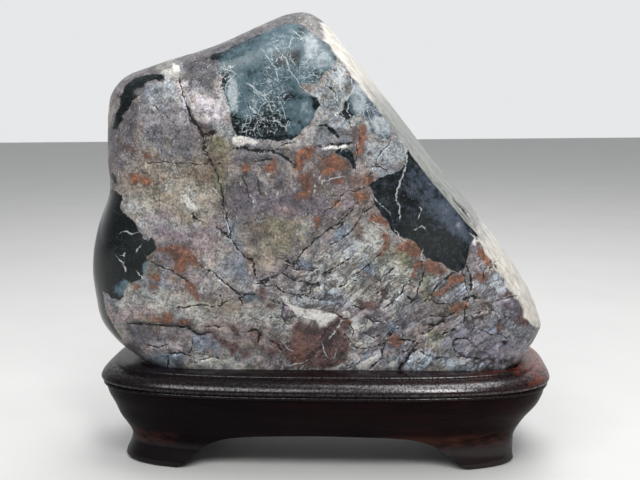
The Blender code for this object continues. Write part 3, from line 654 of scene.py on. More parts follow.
# Section from the land down to the floor: how far in from the widest outline, and height.
SECTION = [
    (6.75, 44.3), (6.5, 44.15), (6.35, 43.9), (6.3, 43.5), (6.2, 43.3), (5.6, 43.2), (4.9, 43.1),
    (4.2, 42.9), (3.2, 42.5), (2.2, 41.9), (1.4, 41.2), (0.8, 40.5), (0.35, 39.8), (0.08, 39.2),
    (0.0, 38.7), (0.1, 38.3), (0.35, 37.95), (0.7, 37.75), (1.2, 37.6), (1.55, 37.4), (1.5, 37.15),
    (1.15, 36.95), (0.9, 36.65), (0.8, 36.3), (0.85, 35.9), (1.1, 35.6), (1.5, 35.4), (1.75, 35.2),
    (1.8, 34.8), (2.0, 34.2), (2.3, 33.1), (2.7, 31.6), (3.3, 30.0), (4.1, 28.2), (5.0, 26.4),
    (5.9, 24.8), (6.9, 23.0), (7.9, 21.2), (8.95, 19.4), (10.0, 17.6), (11.0, 15.8), (12.0, 14.0),
    (12.7, 12.3), (13.15, 10.9), (13.2, 9.8), (13.1, 8.6), (12.85, 7.3), (12.4, 5.9), (12.0, 4.7),
    (11.6, 3.6), (11.3, 2.6), (11.15, 1.8), (11.2, 1.1), (11.6, 0.5), (12.2, 0.15), (12.8, 0.0),
]
# How square the plan's ends and sides are; 2 would be round.
END_FULLNESS = 3.0
FRONT_FULLNESS = 3.9
# How far the body and the feet are drawn in at the right end and let out at the left one, in
# millimetres.
BODY_LEAN = 1.4
FEET_LEAN = 0.9
# Half of each arch, from its crown outwards: distance from the middle and height.
FRONT_ARCH = [(0, 16.8), (6, 16.75), (14, 16.55), (22, 16.3), (28, 16.0), (33, 15.6), (37, 15.1),
              (40, 14.5), (43, 13.7), (46, 12.6), (48, 11.65), (50, 10.55), (52, 9.2),
              (54, 7.6), (56, 5.9), (57.5, 4.6), (59, 3.45), (60.5, 2.5), (62, 1.7),
              (63.5, 1.05), (65, 0.5), (66.5, 0.0)]
END_ARCH = [(0, 13.6), (4.5, 13.5), (7, 13.1), (9.8, 11.9), (12, 10.1), (13.5, 8.0), (15, 5.6),
            (16.1, 3.2), (17, 0.0)]
SOCKET_DEPTH = 3.0 * MM
SOCKET_GAP = 0.5 * MM
PLAN_STEPS = 4001                              # corners that the plan is measured with


# ---------------------------------------------------------------- curves and distances


def closed_curve(knots):
    """A function that reads a smooth closed curve through (angle, value) knots."""
    angle, value = np.array(sorted(knots)).T
    angle = np.concatenate((angle[-2:] - TAU, angle, angle[:2] + TAU))
    value = np.concatenate((value[-2:], value, value[:2]))
    slope = np.gradient(value, angle)

    def read(theta):
        theta = (theta - angle[1]) % TAU + angle[1]
        i = np.searchsorted(angle, theta, side="right") - 1
        width = angle[i + 1] - angle[i]
        t = (theta - angle[i]) / width
        ends = value[i] * (1 + 2 * t) * (1 - t) ** 2 + value[i + 1] * t * t * (3 - 2 * t)
        turns = slope[i] * t * (1 - t) ** 2 - slope[i + 1] * t * t * (1 - t)
        return ends + width * turns

    return read


def outline_knots():
    """The outline as (bearing, distance) from the core."""
    for x, z in OUTLINE:
        dx = x * MM - STONE_CORE[0]
        dz = z * MM - STONE_CORE[2]
        yield math.atan2(dz, dx), math.hypot(dx, dz)


outline_reach = closed_curve(outline_knots())
edge_softness = closed_curve((math.radians(bearing), soft * MM) for bearing, soft in EDGE_SOFTNESS)


def smooth_step(edge_0, edge_1, value):
    """0 before edge_0, 1 after edge_1, and a smooth rise between."""
    t = np.clip((value - edge_0) / (edge_1 - edge_0), 0, 1)
    return t * t * (3 - 2 * t)


def smooth_max(a, b, blend):
    """The larger of two distances, with the corner between them rounded."""
    return np.maximum(a, b) + np.maximum(blend - np.abs(a - b), 0) ** 2 / (4 * blend)


def nearest_on_path(u, v, path):
    """Distance to a polyline and the side of it: 1 to the left of the way it runs, or -1."""
    nearest = np.full(len(u), np.inf)
    side = np.ones(len(u))
    corners = np.array(path, float)
    for start, end in zip(corners[:-1], corners[1:]):
        along = end - start
        t = ((u - start[0]) * along[0] + (v - start[1]) * along[1]) / along.dot(along)
        t = np.clip(t, 0, 1)
        gap_u = u - start[0] - t * along[0]
        gap_v = v - start[1] - t * along[1]
        gap = np.hypot(gap_u, gap_v)
        closer = gap < nearest
        nearest = np.where(closer, gap, nearest)
        side = np.where(closer, np.where(along[0] * gap_v - along[1] * gap_u < 0, -1, 1), side)
    return nearest, side


def patch_distance(u, v, patches):
    """Distance to the nearest of some closed outlines, negative inside one."""
    nearest = np.full(len(u), np.inf)
    for patch in patches:
        gap, _side = nearest_on_path(u, v, [*patch, patch[0]])
        inside = np.zeros(len(u), bool)
        for (u0, v0), (u1, v1) in zip(patch, patch[1:] + patch[:1]):
            if v0 != v1:
                crossing = (v0 > v) != (v1 > v)
                inside ^= crossing & (u < u0 + (v - v0) * (u1 - u0) / (v1 - v0))
        nearest = np.minimum(nearest, np.where(inside, -gap, gap))
    return nearest


def rough(points, size, seed=0):
    """Smooth noise at each point, about -1 to 1, with features of a size in metres."""
    shift = Vector((seed * 7.31, seed * 3.17, seed * 5.83))
    return np.array([noise.noise(Vector(point) / size + shift) for point in points])


def drawn_out(points, lean, share):
    """Points squeezed along a line that rises to the right, so that noise is drawn out along it.

    The lean is in degrees.
    """
    lean = math.radians(lean)
    along = points[:, 0] * math.cos(lean) + points[:, 2] * math.sin(lean)
    across = points[:, 2] * math.cos(lean) - points[:, 0] * math.sin(lean)
    return np.column_stack((along * share, points[:, 1], across))


def view_axes():
    """Forward, right and up of the view."""
    heading, tilt, roll = (math.radians(turn) for turn in (VIEW_HEADING, VIEW_TILT, VIEW_ROLL))
    forward = Vector((-math.sin(heading) * math.cos(tilt), math.cos(heading) * math.cos(tilt),
                      -math.sin(tilt)))
    level = Vector((math.cos(heading), math.sin(heading), 0))
    upright = level.cross(forward)
    right = level * math.cos(roll) + upright * math.sin(roll)
    up = upright * math.cos(roll) - level * math.sin(roll)
    return forward, right, up


def view_point():
    """Where the front is seen from, in metres."""
    forward, _right, _up = view_axes()
    target = Vector(VIEW_TARGET) * MM + Vector(PLACE)
    return target - forward * VIEW_DISTANCE * MM


def chart(points):
    """Chart coordinates (u, v) of some points, in millimetres."""
    forward, right, up = (np.array(axis) for axis in view_axes())
    sight = points - np.array(view_point())
    depth = sight @ forward
    return VIEW_DISTANCE * (sight @ right) / depth, VIEW_DISTANCE * (sight @ up) / depth


# ---------------------------------------------------------------- stone


def stone_distance(points):
    """Distance of each point from the stone's smooth form, negative inside."""
    x, y, z = (points - STONE_CORE).T
    bearing = np.arctan2(z, x)
    reach = outline_reach(bearing)
    turn = (outline_reach(bearing + 0.01) - outline_reach(bearing - 0.01)) / 0.02 / reach
    on_slope = smooth_step(-0.6, -0.3, bearing) * smooth_step(1.5, 1.2, bearing)
    form = (np.hypot(x, z) - reach - SLOPE_LEAN * y * on_slope) / np.sqrt(1 + turn ** 2)
    faces = np.full(len(x), -1.0)
    for bearing_deg, tilt_deg, distance in FACETS:
        side, tilt = math.radians(bearing_deg), math.radians(tilt_deg)
        across = x * math.sin(side) - y * math.cos(side)
        face = across * math.cos(tilt) + z * math.sin(tilt) - distance * MM
        faces = smooth_max(faces, face, FACET_BLEND)
    form = smooth_max(form, faces, edge_softness(bearing))
    return smooth_max(form, STONE_FOOT - points[:, 2], FOOT_BLEND)


def reach_stone(start, rays, inside, outside, gap):
    """Points on rays where they are a gap out from the stone's smooth form.

    Inside and outside are the shares of each ray that the search runs between.
    """
    inside, outside = np.full(len(rays), inside), np.full(len(rays), outside)
    for _halving in range(HALVINGS):
        middle = (inside + outside) / 2
        points = start + rays * middle[:, None]
        is_out = stone_distance(points) > gap
        outside = np.where(is_out, middle, outside)
        inside = np.where(is_out, inside, middle)
    return points


def worn_relief(points):
    """Height of the worn surface over the smooth form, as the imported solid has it."""
    x, y, z = points.T
    height = np.zeros(len(points))
    for place, spread, rise in LUMPS:
        gap = np.linalg.norm(points - np.array(place) * MM, axis=1)
        height += rise * MM * np.exp(-(gap / (spread * MM)) ** 2)
    front = smooth_step(-8 * MM, -18 * MM, y)
    for path, half_width, depth in FISSURES:
        gap, _side = nearest_on_path(x / MM, z / MM, path)
        height -= front * depth * MM * np.exp(-(gap / half_width) ** 2)
    ledge_x, ledge_z = np.array(LEDGE).T * MM
    under = np.interp(x, ledge_x, ledge_z) - z
    along = smooth_step(ledge_x[0] - 6 * MM, ledge_x[0] + 6 * MM, x)
    along *= smooth_step(ledge_x[-1] + 6 * MM, ledge_x[-1] - 6 * MM, x)
    step = smooth_step(0, 2 * MM, under) * np.exp(-np.maximum(under, 0) / LEDGE_FADE)
    height -= LEDGE_DEPTH * front * along * step
    for wavelength, rise in WAVES:
        height += rise * MM * rough(points, wavelength * MM)
    return height * smooth_step(STONE_FOOT, STONE_FOOT + 9 * MM, z)


def block_lattice(half_sizes, cell):
    """A closed box divided into square cells, twice as fine on its front."""
    mesh = bmesh.new()
    bmesh.ops.create_cube(mesh, size=2, matrix=Matrix.Diagonal((*half_sizes, 1)))
    for axis, half in enumerate(half_sizes):
        edges = []
        for edge in mesh.edges:
            along = edge.verts[1].co - edge.verts[0].co
            if abs(along[axis]) > half:
                edges.append(edge)
        cuts = round(2 * half / cell) - 1
        bmesh.ops.subdivide_edges(mesh, edges=edges, cuts=cuts, use_grid_fill=True)
    front = -half_sizes[1] * 0.999
    edges = [edge for edge in mesh.edges if max(vert.co.y for vert in edge.verts) < front]
    bmesh.ops.subdivide_edges(mesh, edges=edges, cuts=1, use_grid_fill=True)
    return mesh


def set_points(mesh, points):
    """Move a mesh's vertices, and give back their new normals."""
    for vert, point in zip(mesh.verts, points):
        vert.co = point
    mesh.normal_update()
    return np.array([vert.normal for vert in mesh.verts])


def seen_share(points, normals):
    """1 where the front is seen from the viewpoint, fading to 0 where the stone turns away."""
    sight = np.array(view_point()) - PLACE - points
    sight /= np.linalg.norm(sight, axis=1)[:, None]
    return smooth_step(-0.05, 0.12, (sight * normals).sum(1))


def line_field(u, v, lines, seen):
    """Signed distance to the nearest of some lines, and the half width of that line."""
    nearest = np.full(len(u), FAR_FROM_LINE)
    signed = nearest.copy()
    width = np.zeros(len(u))
    for half_width, path in lines:
        corners = np.array(path)
        low, high = corners.min(0) - LINE_MARGIN, corners.max(0) + LINE_MARGIN
        near = np.flatnonzero((u > low[0]) & (u < high[0]) & (v > low[1]) & (v < high[1]))
        gap, side = nearest_on_path(u[near], v[near], path)
        closer = gap < nearest[near]
        near, gap, side = near[closer], gap[closer], side[closer]
        nearest[near] = gap
        signed[near] = gap * side
        width[near] = half_width * smooth_step(half_width + 1.3, half_width + 0.4, gap)
    return signed, width * seen


def washes_at(u, v, washes, ragged):
    """Strength of each oval wash at each place on the chart; a ragged noise frays its edge."""
    for *head, place_u, place_v, length, width, turn, strength in washes:
        cos, sin = math.cos(math.radians(turn)), math.sin(math.radians(turn))
        du, dv = u - place_u, v - place_v
        along = (du * cos + dv * sin) / length
        across = (dv * cos - du * sin) / width
        oval = np.exp(-(along ** 2 + across ** 2))
        yield head, strength * smooth_step(0.12, 0.72, oval + ragged * np.sqrt(oval))


def layered_relief(points, crags):
    """Fine height in millimetres, and the crevices: chipped layers where the rock is craggy."""
    slanted = drawn_out(points, 40, 0.4)
    layers = rough(slanted, 7 * MM, 41) * 3 + rough(points, 3 * MM, 42) * 0.5
    chips = np.floor(layers) + smooth_step(0.72, 1, layers - np.floor(layers))
    split = rough(slanted, 6 * MM, 43) + 0.3 * rough(points, 2.5 * MM, 44)
    crevice = smooth_step(0.13, 0.02, np.abs(split))
    crevice *= smooth_step(-0.2, 0.2, rough(points, 9 * MM, 45)) * crags
    fine = rough(points, 5 * MM, 1) * (0.10 + 0.15 * crags) + rough(points, 2.4 * MM, 2) * 0.09
    fine += crags * (0.22 * chips - 0.1 * layers) - 0.4 * crevice
    return fine, crevice


def stone_marks(points, normals, u, v, seen, chert):
    """The markings but for lines and crevices: a name, then a value at each point.

    An outlined patch gives the distance to its edge. Noise stands in where the front ends.
    """
    back = rough(points, 42 * MM, 3) * 14 + rough(points, 15 * MM, 4) * 5
    yield "chert", np.where(seen > 0, chert * seen + (back + 5) * (1 - seen), back + 5)
    on_slope = smooth_step(0.45, 0.75, normals[:, 0] * 0.8 + normals[:, 2] * 0.6)
    yield "slope", on_slope * smooth_step(-5 * MM, 8 * MM, points[:, 0])
    for name, patches, seed, bias in (("rust", RUST, 5, 4.5), ("maroon", MAROON, 6, 4.5),
                                      ("white", WHITE, 7, 5.0)):
        behind = rough(points, 19 * MM, seed) * 9 + rough(points, 6 * MM, seed + 9) * 3 + bias
        yield name, patch_distance(u, v, patches) * seen + behind * (1 - seen)
    haze_and_sheen = 0.06 - 0.2 * smooth_step(-60, -80, u) * (0.5 + 0.5 * smooth_step(45, 25, v))
    haze_and_sheen -= 0.03 * smooth_step(26, 38, u)
    haze_and_sheen += 0.25 * (1 - seen) * (rough(points, 12 * MM, 8) + 0.4)
    for _head, strength in washes_at(u, v, HAZE_AND_SHEEN, 0.25 * rough(points, 5 * MM, 9)):
        haze_and_sheen = haze_and_sheen + (1 - haze_and_sheen) * strength * seen
    yield "haze_and_sheen", haze_and_sheen
    for name, crowds, fray, size, seed, least in (
            ("specks", SPECKS, 0.25, 6 * MM, 10, 0.15 * (1 - seen)),
            ("ember", EMBERS, 0.4, 3 * MM, 11, np.zeros(len(u))),
            ("soot", SOOT, 0.4, 3 * MM, 11, np.zeros(len(u)))):
        for _head, strength in washes_at(u, v, crowds, fray * rough(points, size, seed)):
            least = np.maximum(least, strength * seen)
        yield name, least


def ground_colours(points, normals, u, v, seen):
    """Colour of the ground rock at each point: clouds of the palette, then the washes."""
    stir_u = u + 4 * rough(points, 11 * MM, 21) + 2.5 * rough(points, 4 * MM, 22)
    stir_v = v + 4 * rough(points, 11 * MM, 23) + 2.5 * rough(points, 4 * MM, 24)
    fray = 0.45 * rough(points, 7 * MM, 25) + 0.5 * rough(points, 2.6 * MM, 26)
    palette = {name: np.array(colour) for name, colour in PALETTE.items()}
    ground = np.tile((palette["lilac"] + palette["buff"]) / 2, (len(u), 1))
    for seed, name in enumerate(("grey", "pale", "olive", "lilac", "dusk_and_shade", "blue")):
        share = smooth_step(0.1, 0.5, rough(points, 15 * MM, 30 + seed) + 0.6 * fray) * 0.6
        ground += (palette[name] - ground) * share[:, None]
    upward = smooth_step(0.35, 0.8, normals[:, 2]) * smooth_step(8 * MM, -4 * MM, points[:, 0])
    ground += (palette["dusk_and_shade"] * 1.2 - ground) * upward[:, None] * 0.75
    for (name,), strength in washes_at(stir_u, stir_v, WASHES, fray):
        ground += (palette[name] - ground) * (strength * seen)[:, None]
    return ground


def carve_stone(settings):
    """The stone's mesh, its markings and its ground colours."""
    mesh = block_lattice(BLOCK, settings.cell)
    lattice = np.array([vert.co for vert in mesh.verts])
    surface = reach_stone(STONE_CORE, lattice, 0.2, 2.5, 0)
    normals = set_points(mesh, surface)
    seen = seen_share(surface, normals)
    u, v = chart(surface + PLACE)

    chert = patch_distance(u, v, CHERT_AND_SHADE)
    crack, crack_width = line_field(u, v, CRACKS, seen)
    vein, vein_width = line_field(u, v, VEINS, seen)
    marks = {"crack": crack, "crack_width": crack_width, "vein": vein, "vein_width": vein_width}

    low_right = smooth_step(20, -25, v) * smooth_step(-45, 10, u)
    crags = np.clip(0.35 * smooth_step(5, -30, v) + low_right, 0, 1) * smooth_step(-1, 3, chert)
    fine, crevice = layered_relief(surface, crags)
    marks.update(craggy=crags, crevice=crevice)
    grooves = crack_width * 0.9 * np.exp(-(crack / (0.45 + crack_width)) ** 2)
    polish = smooth_step(-2.5, 1.5, chert) * 0.85 + 0.15
    above = smooth_step(STONE_FOOT, STONE_FOOT + 6 * MM, surface[:, 2])
    height = worn_relief(surface) + above * MM * (fine * polish - grooves)
    surface = surface + normals * height[:, None]
    normals = set_points(mesh, surface)
    bmesh.ops.triangulate(mesh, faces=mesh.faces)

    marks.update(stone_marks(surface, normals, u, v, seen, chert))
    return mesh, marks, ground_colours(surface, normals, u, v, seen)


# ---------------------------------------------------------------- stand


def plan_points(inset, count):
    """Evenly spaced points round the stand's plan, drawn in from its widest outline."""
    angle = np.linspace(0, TAU, PLAN_STEPS)
    cos, sin = np.cos(angle), np.sin(angle)
    half_length = (STAND_BOX[1].x - STAND_BOX[0].x) / 2
    half_depth = (STAND_BOX[1].y - STAND_BOX[0].y) / 2
    x = (half_length - inset) * np.copysign(np.abs(cos) ** (2 / END_FULLNESS), cos)
    y = (half_depth - inset) * np.copysign(np.abs(sin) ** (2 / FRONT_FULLNESS), sin)
    length = np.concatenate(([0], np.cumsum(np.hypot(np.diff(x), np.diff(y)))))
    even = np.linspace(0, length[-1], count, endpoint=False)
    return np.interp(even, length, x), np.interp(even, length, y)


def socket_ring(count, height, cut_height, gap):
    """The stone's outline at one height, a gap out and laid at another, in step with the plan."""
    rays = np.column_stack((*plan_points(20 * MM, count), np.zeros(count)))
    ring = reach_stone(np.array((0, 0, cut_height)), rays, 0.3, 1.6, gap)
    ring[:, 2] = height
    return ring


def stand_rings(count):
    """Rings of the stand from the socket's floor, over the rim and down to the feet."""
    land, floor = SECTION[0][1] * MM, SECTION[0][1] * MM - SOCKET_DEPTH
    for height, gap in ((floor, SOCKET_GAP), (land - 0.3 * MM, SOCKET_GAP),
                        (land, SOCKET_GAP + 0.3 * MM)):
        yield socket_ring(count, height, max(height, STONE_FOOT + 1.2 * MM), gap)
    for inset, height in SECTION:
        x, y = plan_points(inset * MM, count)
        lean = BODY_LEAN * smooth_step(28, 19, height) + FEET_LEAN * smooth_step(9, 3, height)
        share = lean * MM * np.sign(x) * np.abs(x / np.max(x)) ** (END_FULLNESS / 2)
        x = x - share * x / np.max(x)
        y = y - share * y / np.max(y)
        yield np.column_stack((x, y, np.full(count, height * MM)))


def loft(rings):
    """A closed skin: a flat circle that is extruded from ring to ring."""
    rings = list(rings)
    mesh = bmesh.new()
    bmesh.ops.create_circle(mesh, cap_ends=True, segments=len(rings[0]), radius=1)
    mesh.verts.ensure_lookup_table()
    loop = list(mesh.verts)
    for vert, point in zip(loop, rings[0]):
        vert.co = point
    for ring in rings[1:]:
        edges = [mesh.edges.get(pair) for pair in zip(loop, loop[1:] + loop[:1])]
        made = bmesh.ops.extrude_edge_only(mesh, edges=edges)["geom"]
        fresh = {vert for vert in made if isinstance(vert, bmesh.types.BMVert)}
        loop = [next(edge.other_vert(vert) for edge in vert.link_edges
                     if edge.other_vert(vert) in fresh) for vert in loop]
        for vert, point in zip(loop, ring):
            vert.co = point
    bmesh.ops.holes_fill(mesh, edges=[edge for edge in mesh.edges if edge.is_boundary])
    bmesh.ops.recalc_face_normals(mesh, faces=mesh.faces)
    return mesh


def arch_bar(half_arch, axis, reach):
    """Both ends of a bar along X or Y, longer than the stand, with the section of an arch."""
    foot = half_arch[-1][0]
    right = [(across * MM, height * MM) for across, height in [*half_arch, (foot, -5)]]
    left = [(-across, height) for across, height in reversed(right) if across]
    for along in (-reach, reach):
        if axis == "X":
            yield [(along, across, height) for across, height in left + right]
        else:
            yield [(across, along, height) for across, height in left + right]


def cut_arch(stand, rings):
    """Take a bar's shape out of the stand for good."""
    cutter = as_object("arch cutter", loft(rings))
    cut = stand.modifiers.new("arch", "BOOLEAN")
    cut.operation = "DIFFERENCE"
    cut.solver = "EXACT"
    cut.object = cutter
    depsgraph = bpy.context.evaluated_depsgraph_get()
    settled = bpy.data.meshes.new_from_object(stand.evaluated_get(depsgraph))
    stand.modifiers.clear()
    stand.data = settled
    bpy.data.objects.remove(cutter)


# ---------------------------------------------------------------- materials


class Value:
    """A socket in a material that can be used in sums; each sum adds its Math node."""

    def __init__(self, finish, socket):
        self.finish = finish
        self.socket = socket

    def __add__(self, other):
        return self.finish.math("ADD", self, other)

    def __sub__(self, other):
        return self.finish.math("SUBTRACT", self, other)

    def __rsub__(self, other):
        return self.finish.math("SUBTRACT", other, self)

    def __mul__(self, other):
        return self.finish.math("MULTIPLY", self, other)

    def __truediv__(self, other):
        return self.finish.math("DIVIDE", self, other)

    __radd__ = __add__
    __rmul__ = __mul__


class Nodes:
    """A tree of shader nodes that is being made."""

    def __init__(self, tree):
        self.tree = tree

    def feed(self, socket, value):
        """Link a value to a socket, or set the socket to a constant."""
        if isinstance(value, Value):
            self.tree.links.new(value.socket, socket)
        else:
            socket.default_value = value

    def add(self, kind, settings=None, inputs=None, output=0):
        """Add a node, set it up, feed it, and give back one of its outputs."""
        node = self.tree.nodes.new("ShaderNode" + kind)
        for name, setting in (settings or {}).items():
            setattr(node, name, setting)
        for name, value in (inputs or {}).items():
            self.feed(node.inputs[name], value)
        return Value(self, node.outputs[output])

    def math(self, operation, a, b=0.0):
        """A sum of one or two values."""
        return self.add("Math", {"operation": operation}, {0: a, 1: b})

    def step(self, value, low, high):
        """0 at low and 1 at high, with a smooth rise between."""
        return self.add("MapRange", {"interpolation_type": "SMOOTHSTEP"},
                        {"Value": value, "From Min": low, "From Max": high})

    def mix(self, share, a, b, blend="MIX"):
        """Two colours, mixed by a share; either may be a name in TINTS."""
        a, b = (TINTS[c] if isinstance(c, str) else c for c in (a, b))
        a, b = ((*c, 1) if isinstance(c, tuple) else c for c in (a, b))
        return self.add("Mix", {"data_type": "RGBA", "blend_type": blend},
                        {0: share, 6: a, 7: b}, output=2)

    def scale(self, colour, share):
        """A colour made darker or lighter."""
        return self.add("VectorMath", {"operation": "SCALE"}, {0: colour, "Scale": share})


class Finish(Nodes):
    """A material that is being made: its shader and the nodes that feed it."""

    def __init__(self, name):
        self.material = bpy.data.materials.new(name)
        self.material.use_nodes = True
        super().__init__(self.material.node_tree)
        self.shader = self.tree.nodes["Principled BSDF"]
        self.place = self.add("TexCoord", output="Object")

    def along(self, axis):
        """Position along an axis of the object, in millimetres."""
        return self.add("SeparateXYZ", {}, {"Vector": self.place}, output=axis) / MM

    def mark(self, name, output="Fac"):
        """Something that the mesh carries at each of its points."""
        return self.add("Attribute", {"attribute_name": name}, output=output)

    def noise(self, size, detail=2.0, roughness=0.5, stretch=(1, 1, 1), turn=0.0, distortion=0.0,
              seed=0):
        """Noise with features of a size in metres, about 0.3 to 0.7.

        A stretch below 1 draws it out, and a turn lifts its right end as seen from the front.
        """
        spot = self.place
        if turn:
            spot = self.add("Mapping", {}, {"Vector": spot,
                                            "Rotation": (0, math.radians(turn), 0)})
        spot = self.add("Mapping", {}, {"Vector": spot, "Scale": stretch,
                                        "Location": (seed * 0.137, seed * 0.071, seed * 0.211)})
        return self.add("TexNoise", {}, {"Vector": spot, "Scale": 1 / size, "Detail": detail,
                                         "Roughness": roughness, "Distortion": distortion})

    def contour(self, height, level=0.5):
        """How far a noise is from a level: its contour lines run where this is 0."""
        return self.math("ABSOLUTE", height - level)

    def line(self, name, wander, patchy):
        """How far inside a marked line a point is, in millimetres; the line wanders and breaks."""
        return self.mark(name + "_width") * patchy - self.math("ABSOLUTE", self.mark(name) + wander)

    def web(self, size, bend, seed=0):
        """Distance to the nearest line of a crazed web, as a share of its size."""
        spot = self.add("Mapping", {}, {"Vector": self.place,
                                        "Location": (seed * 0.113, seed * 0.059, seed * 0.157)})
        wander = self.add("TexNoise", {}, {"Vector": spot, "Scale": 0.7 / size, "Detail": 3.0},
                          output="Color")
        wander = self.add("VectorMath", {"operation": "MULTIPLY_ADD"},
                          {0: wander, 1: (bend,) * 3, 2: spot})
        return self.add("TexVoronoi", {"feature": "DISTANCE_TO_EDGE"},
                        {"Vector": wander, "Scale": 1 / size}, output="Distance")


class VeinedRock(Finish):
    """Polished rock. Each method lays one more layer over the colour that it is given."""

    def __init__(self):
        super().__init__("polished veined stone")
        self.x = self.along("X")
        self.craggy = self.mark("craggy")
        self.ragged = self.noise(4 * MM, 4, 0.6) - 0.5
        self.wander = self.ragged * 6 + (self.noise(1.3 * MM, 3, 0.6, seed=1) - 0.5) * 2
        self.mottle = self.noise(4.0 * MM, 6, 0.65, seed=2)
        level = self.noise(2.6 * MM, 6, 0.7, stretch=(0.6, 1, 1), turn=-12, distortion=0.5, seed=3)
        rising = self.noise(2.4 * MM, 6, 0.68, stretch=(0.22, 1, 1), turn=40, distortion=0.25,
                            seed=4)
        rightward = self.step(self.x + self.ragged * 40, -25, 20)
        self.streak = level * (1 - rightward) + rising * rightward
        fine = self.noise(0.9 * MM, 2, 0.6, seed=5)
        self.tone = self.mottle * 0.5 + self.streak * 0.4 + (fine - 0.5) * 0.5 + 0.05
        self.ledge = self.noise(6 * MM, 6, 0.62, stretch=(0.4, 1, 1), turn=38, distortion=0.5,
                                seed=19)
        self.ledges = (self.step(self.ledge, 0.40, 0.425) + self.step(self.ledge, 0.485, 0.51)
                       + self.step(self.ledge, 0.57, 0.595))

    def ground(self):
        """Mottled and layered rock, cooler and with chipped ledges where it is craggy."""
        contrast = 1.2 - self.craggy * 0.35
        light = self.step(self.tone, 0.31, 0.69) * contrast + 0.83 - contrast * 0.5
        colour = self.scale(self.mark("ground", "Color"), light)
        colour = self.scale(colour, 1 + self.craggy * (self.ledges * 0.22 - 0.08))
        warmer = self.mix(1.0, colour, "warm", "MULTIPLY")
        cooler = self.mix(1.0, colour, "cool", "MULTIPLY")
        tint = self.step(self.noise(5 * MM, 4, 0.7, seed=6), 0.42, 0.62)
        return self.mix(tint * 0.4, self.mix(self.craggy, colour, cooler), warmer)

    def flecks(self, colour):
        """Dark flecks, hairlines, crevices and a painted shade line at each ledge step, and pale
        grains of spar.
        """
        crowds = (self.noise(8 * MM, 3, 0.6, seed=24) - 0.5) * 0.35
        fleck = self.step(self.noise(1.1 * MM, 3, 0.6, seed=7) + crowds, 0.56, 0.68)
        colour = self.mix(fleck * 0.55, colour, "fleck")
        hair = self.step(self.web(8 * MM, 9 * MM), 0.035, 0.0)
        hair = hair * self.step(self.noise(9 * MM, 3, 0.6, seed=8), 0.46, 0.58)
        hair = hair * (1 - self.craggy * 0.6) * 0.8
        split = self.step(self.contour(self.streak) - self.craggy * 0.012, 0.022, 0.0)
        breaks = self.noise(5 * MM, 3, 0.6, seed=9) + self.craggy * 0.08
        split = split * self.step(breaks, 0.46, 0.62)
        # Painted shade: a dark line along each ledge step, which is only a bump.
        shelf_shade = self.step(self.contour(self.ledge, 0.485) - self.craggy * 0.008, 0.006, 0.0)
        self.hair = self.math("MAXIMUM", self.math("MAXIMUM", hair, split), shelf_shade * self.craggy)
        colour = self.mix(self.hair * 0.8, colour, "hairline")
        colour = self.mix(self.mark("crevice") * 0.85, colour, "crevice")
        spar = self.noise(1.3 * MM, 4, 0.7, stretch=(1, 1, 0.5), seed=10) - crowds
        return self.mix(self.step(spar, 0.61, 0.70) * 0.55, colour, "spar")

    def patches(self, colour):
        """White patches, one of them a painted highlight, and maroon ones, with ember and soot at
        the maroon ones' hearts.
        """
        white = self.step(self.mark("white") + self.wander * 0.35, 0.5, -0.3)
        bone = self.mix(self.step(self.tone, 0.36, 0.56), "shaded bone", "bone")
        colour = self.mix(white * 0.9, colour, bone)
        maroon = self.step(self.mark("maroon") + self.wander * 0.8, 1.2, -1.2)
        plum = self.mix(self.step(self.tone, 0.36, 0.62), "shaded plum", "plum")
        hearts = self.noise(5 * MM, 6, 0.75, seed=20)
        ember = self.step(hearts + self.mark("ember") * 0.16, 0.55, 0.70)
        plum = self.mix(ember * 0.55, plum, "ember")
        self.soot = self.step(hearts + self.mark("soot") * 0.3, 0.60, 0.72)
        plum = self.mix(self.soot * 0.8, plum, "soot")
        return self.mix(maroon * 0.88, colour, plum)

    def rusting(self, colour, brightest):
        """Iron stains inside the marked outlines, a scorched border and a few stray spots."""
        inset = self.mark("rust") + self.wander * 0.9
        scorch = self.step(inset, 2.6, 0.8)
        scorch = scorch * self.step(self.noise(3 * MM, 4, 0.7, seed=21), 0.42, 0.58)
        colour = self.mix(scorch * 0.6, colour, "scorch")
        stray = self.step(self.noise(2.6 * MM, 4, 0.65, seed=11), 0.60, 0.68)
        stray = stray * self.step(self.mark("rust") + self.ragged * 12, 9.0, 1.0) * 0.8
        self.rust = self.math("MAXIMUM", self.step(inset, 0.9, -0.6), stray)
        blotch = self.noise(2.2 * MM, 6, 0.75, seed=12)
        iron = self.mix(self.step(blotch, 0.36, 0.54), "shaded iron", "iron")
        iron = self.mix(self.step(blotch, 0.51, 0.62), iron, tuple(brightest))
        ochre = self.step(self.noise(1.5 * MM, 5, 0.7, seed=25), 0.56, 0.66)
        iron = self.mix(ochre * 0.7, iron, "ochre")
        iron = self.mix(self.soot * 0.8, iron, "sooty iron")
        old = self.step(self.noise(9 * MM, 4, 0.7, seed=26), 0.46, 0.60)
        iron = self.mix(old * 0.5, iron, "old iron")
        return self.mix(self.rust * 0.9, colour, iron)

    def worn_slope(self, colour):
        """The long right slope: cream grain, grey for a stretch of it."""
        self.slope = self.step(self.mark("slope") + self.ragged * 0.8, 0.35, 0.75)
        grain = self.noise(1.6 * MM, 5, 0.72, stretch=(0.22, 1, 1), turn=-54, seed=13)
        cream = self.mix(self.step(grain, 0.36, 0.58), "shaded cream", "cream")
        slate = self.mix(self.step(grain, 0.4, 0.56), "shaded slate", "slate")
        z = self.along("Z") + self.ragged * 30
        shade = self.step(z, 95, 110) * self.step(z, 172, 150)
        return self.mix(self.slope * 0.9, colour, self.mix(shade * 0.88, cream, slate))

    def dark_chert(self, colour):
        """Black glassy rock, milky in places, with white webs, branches, specks and painted sheen.
        """
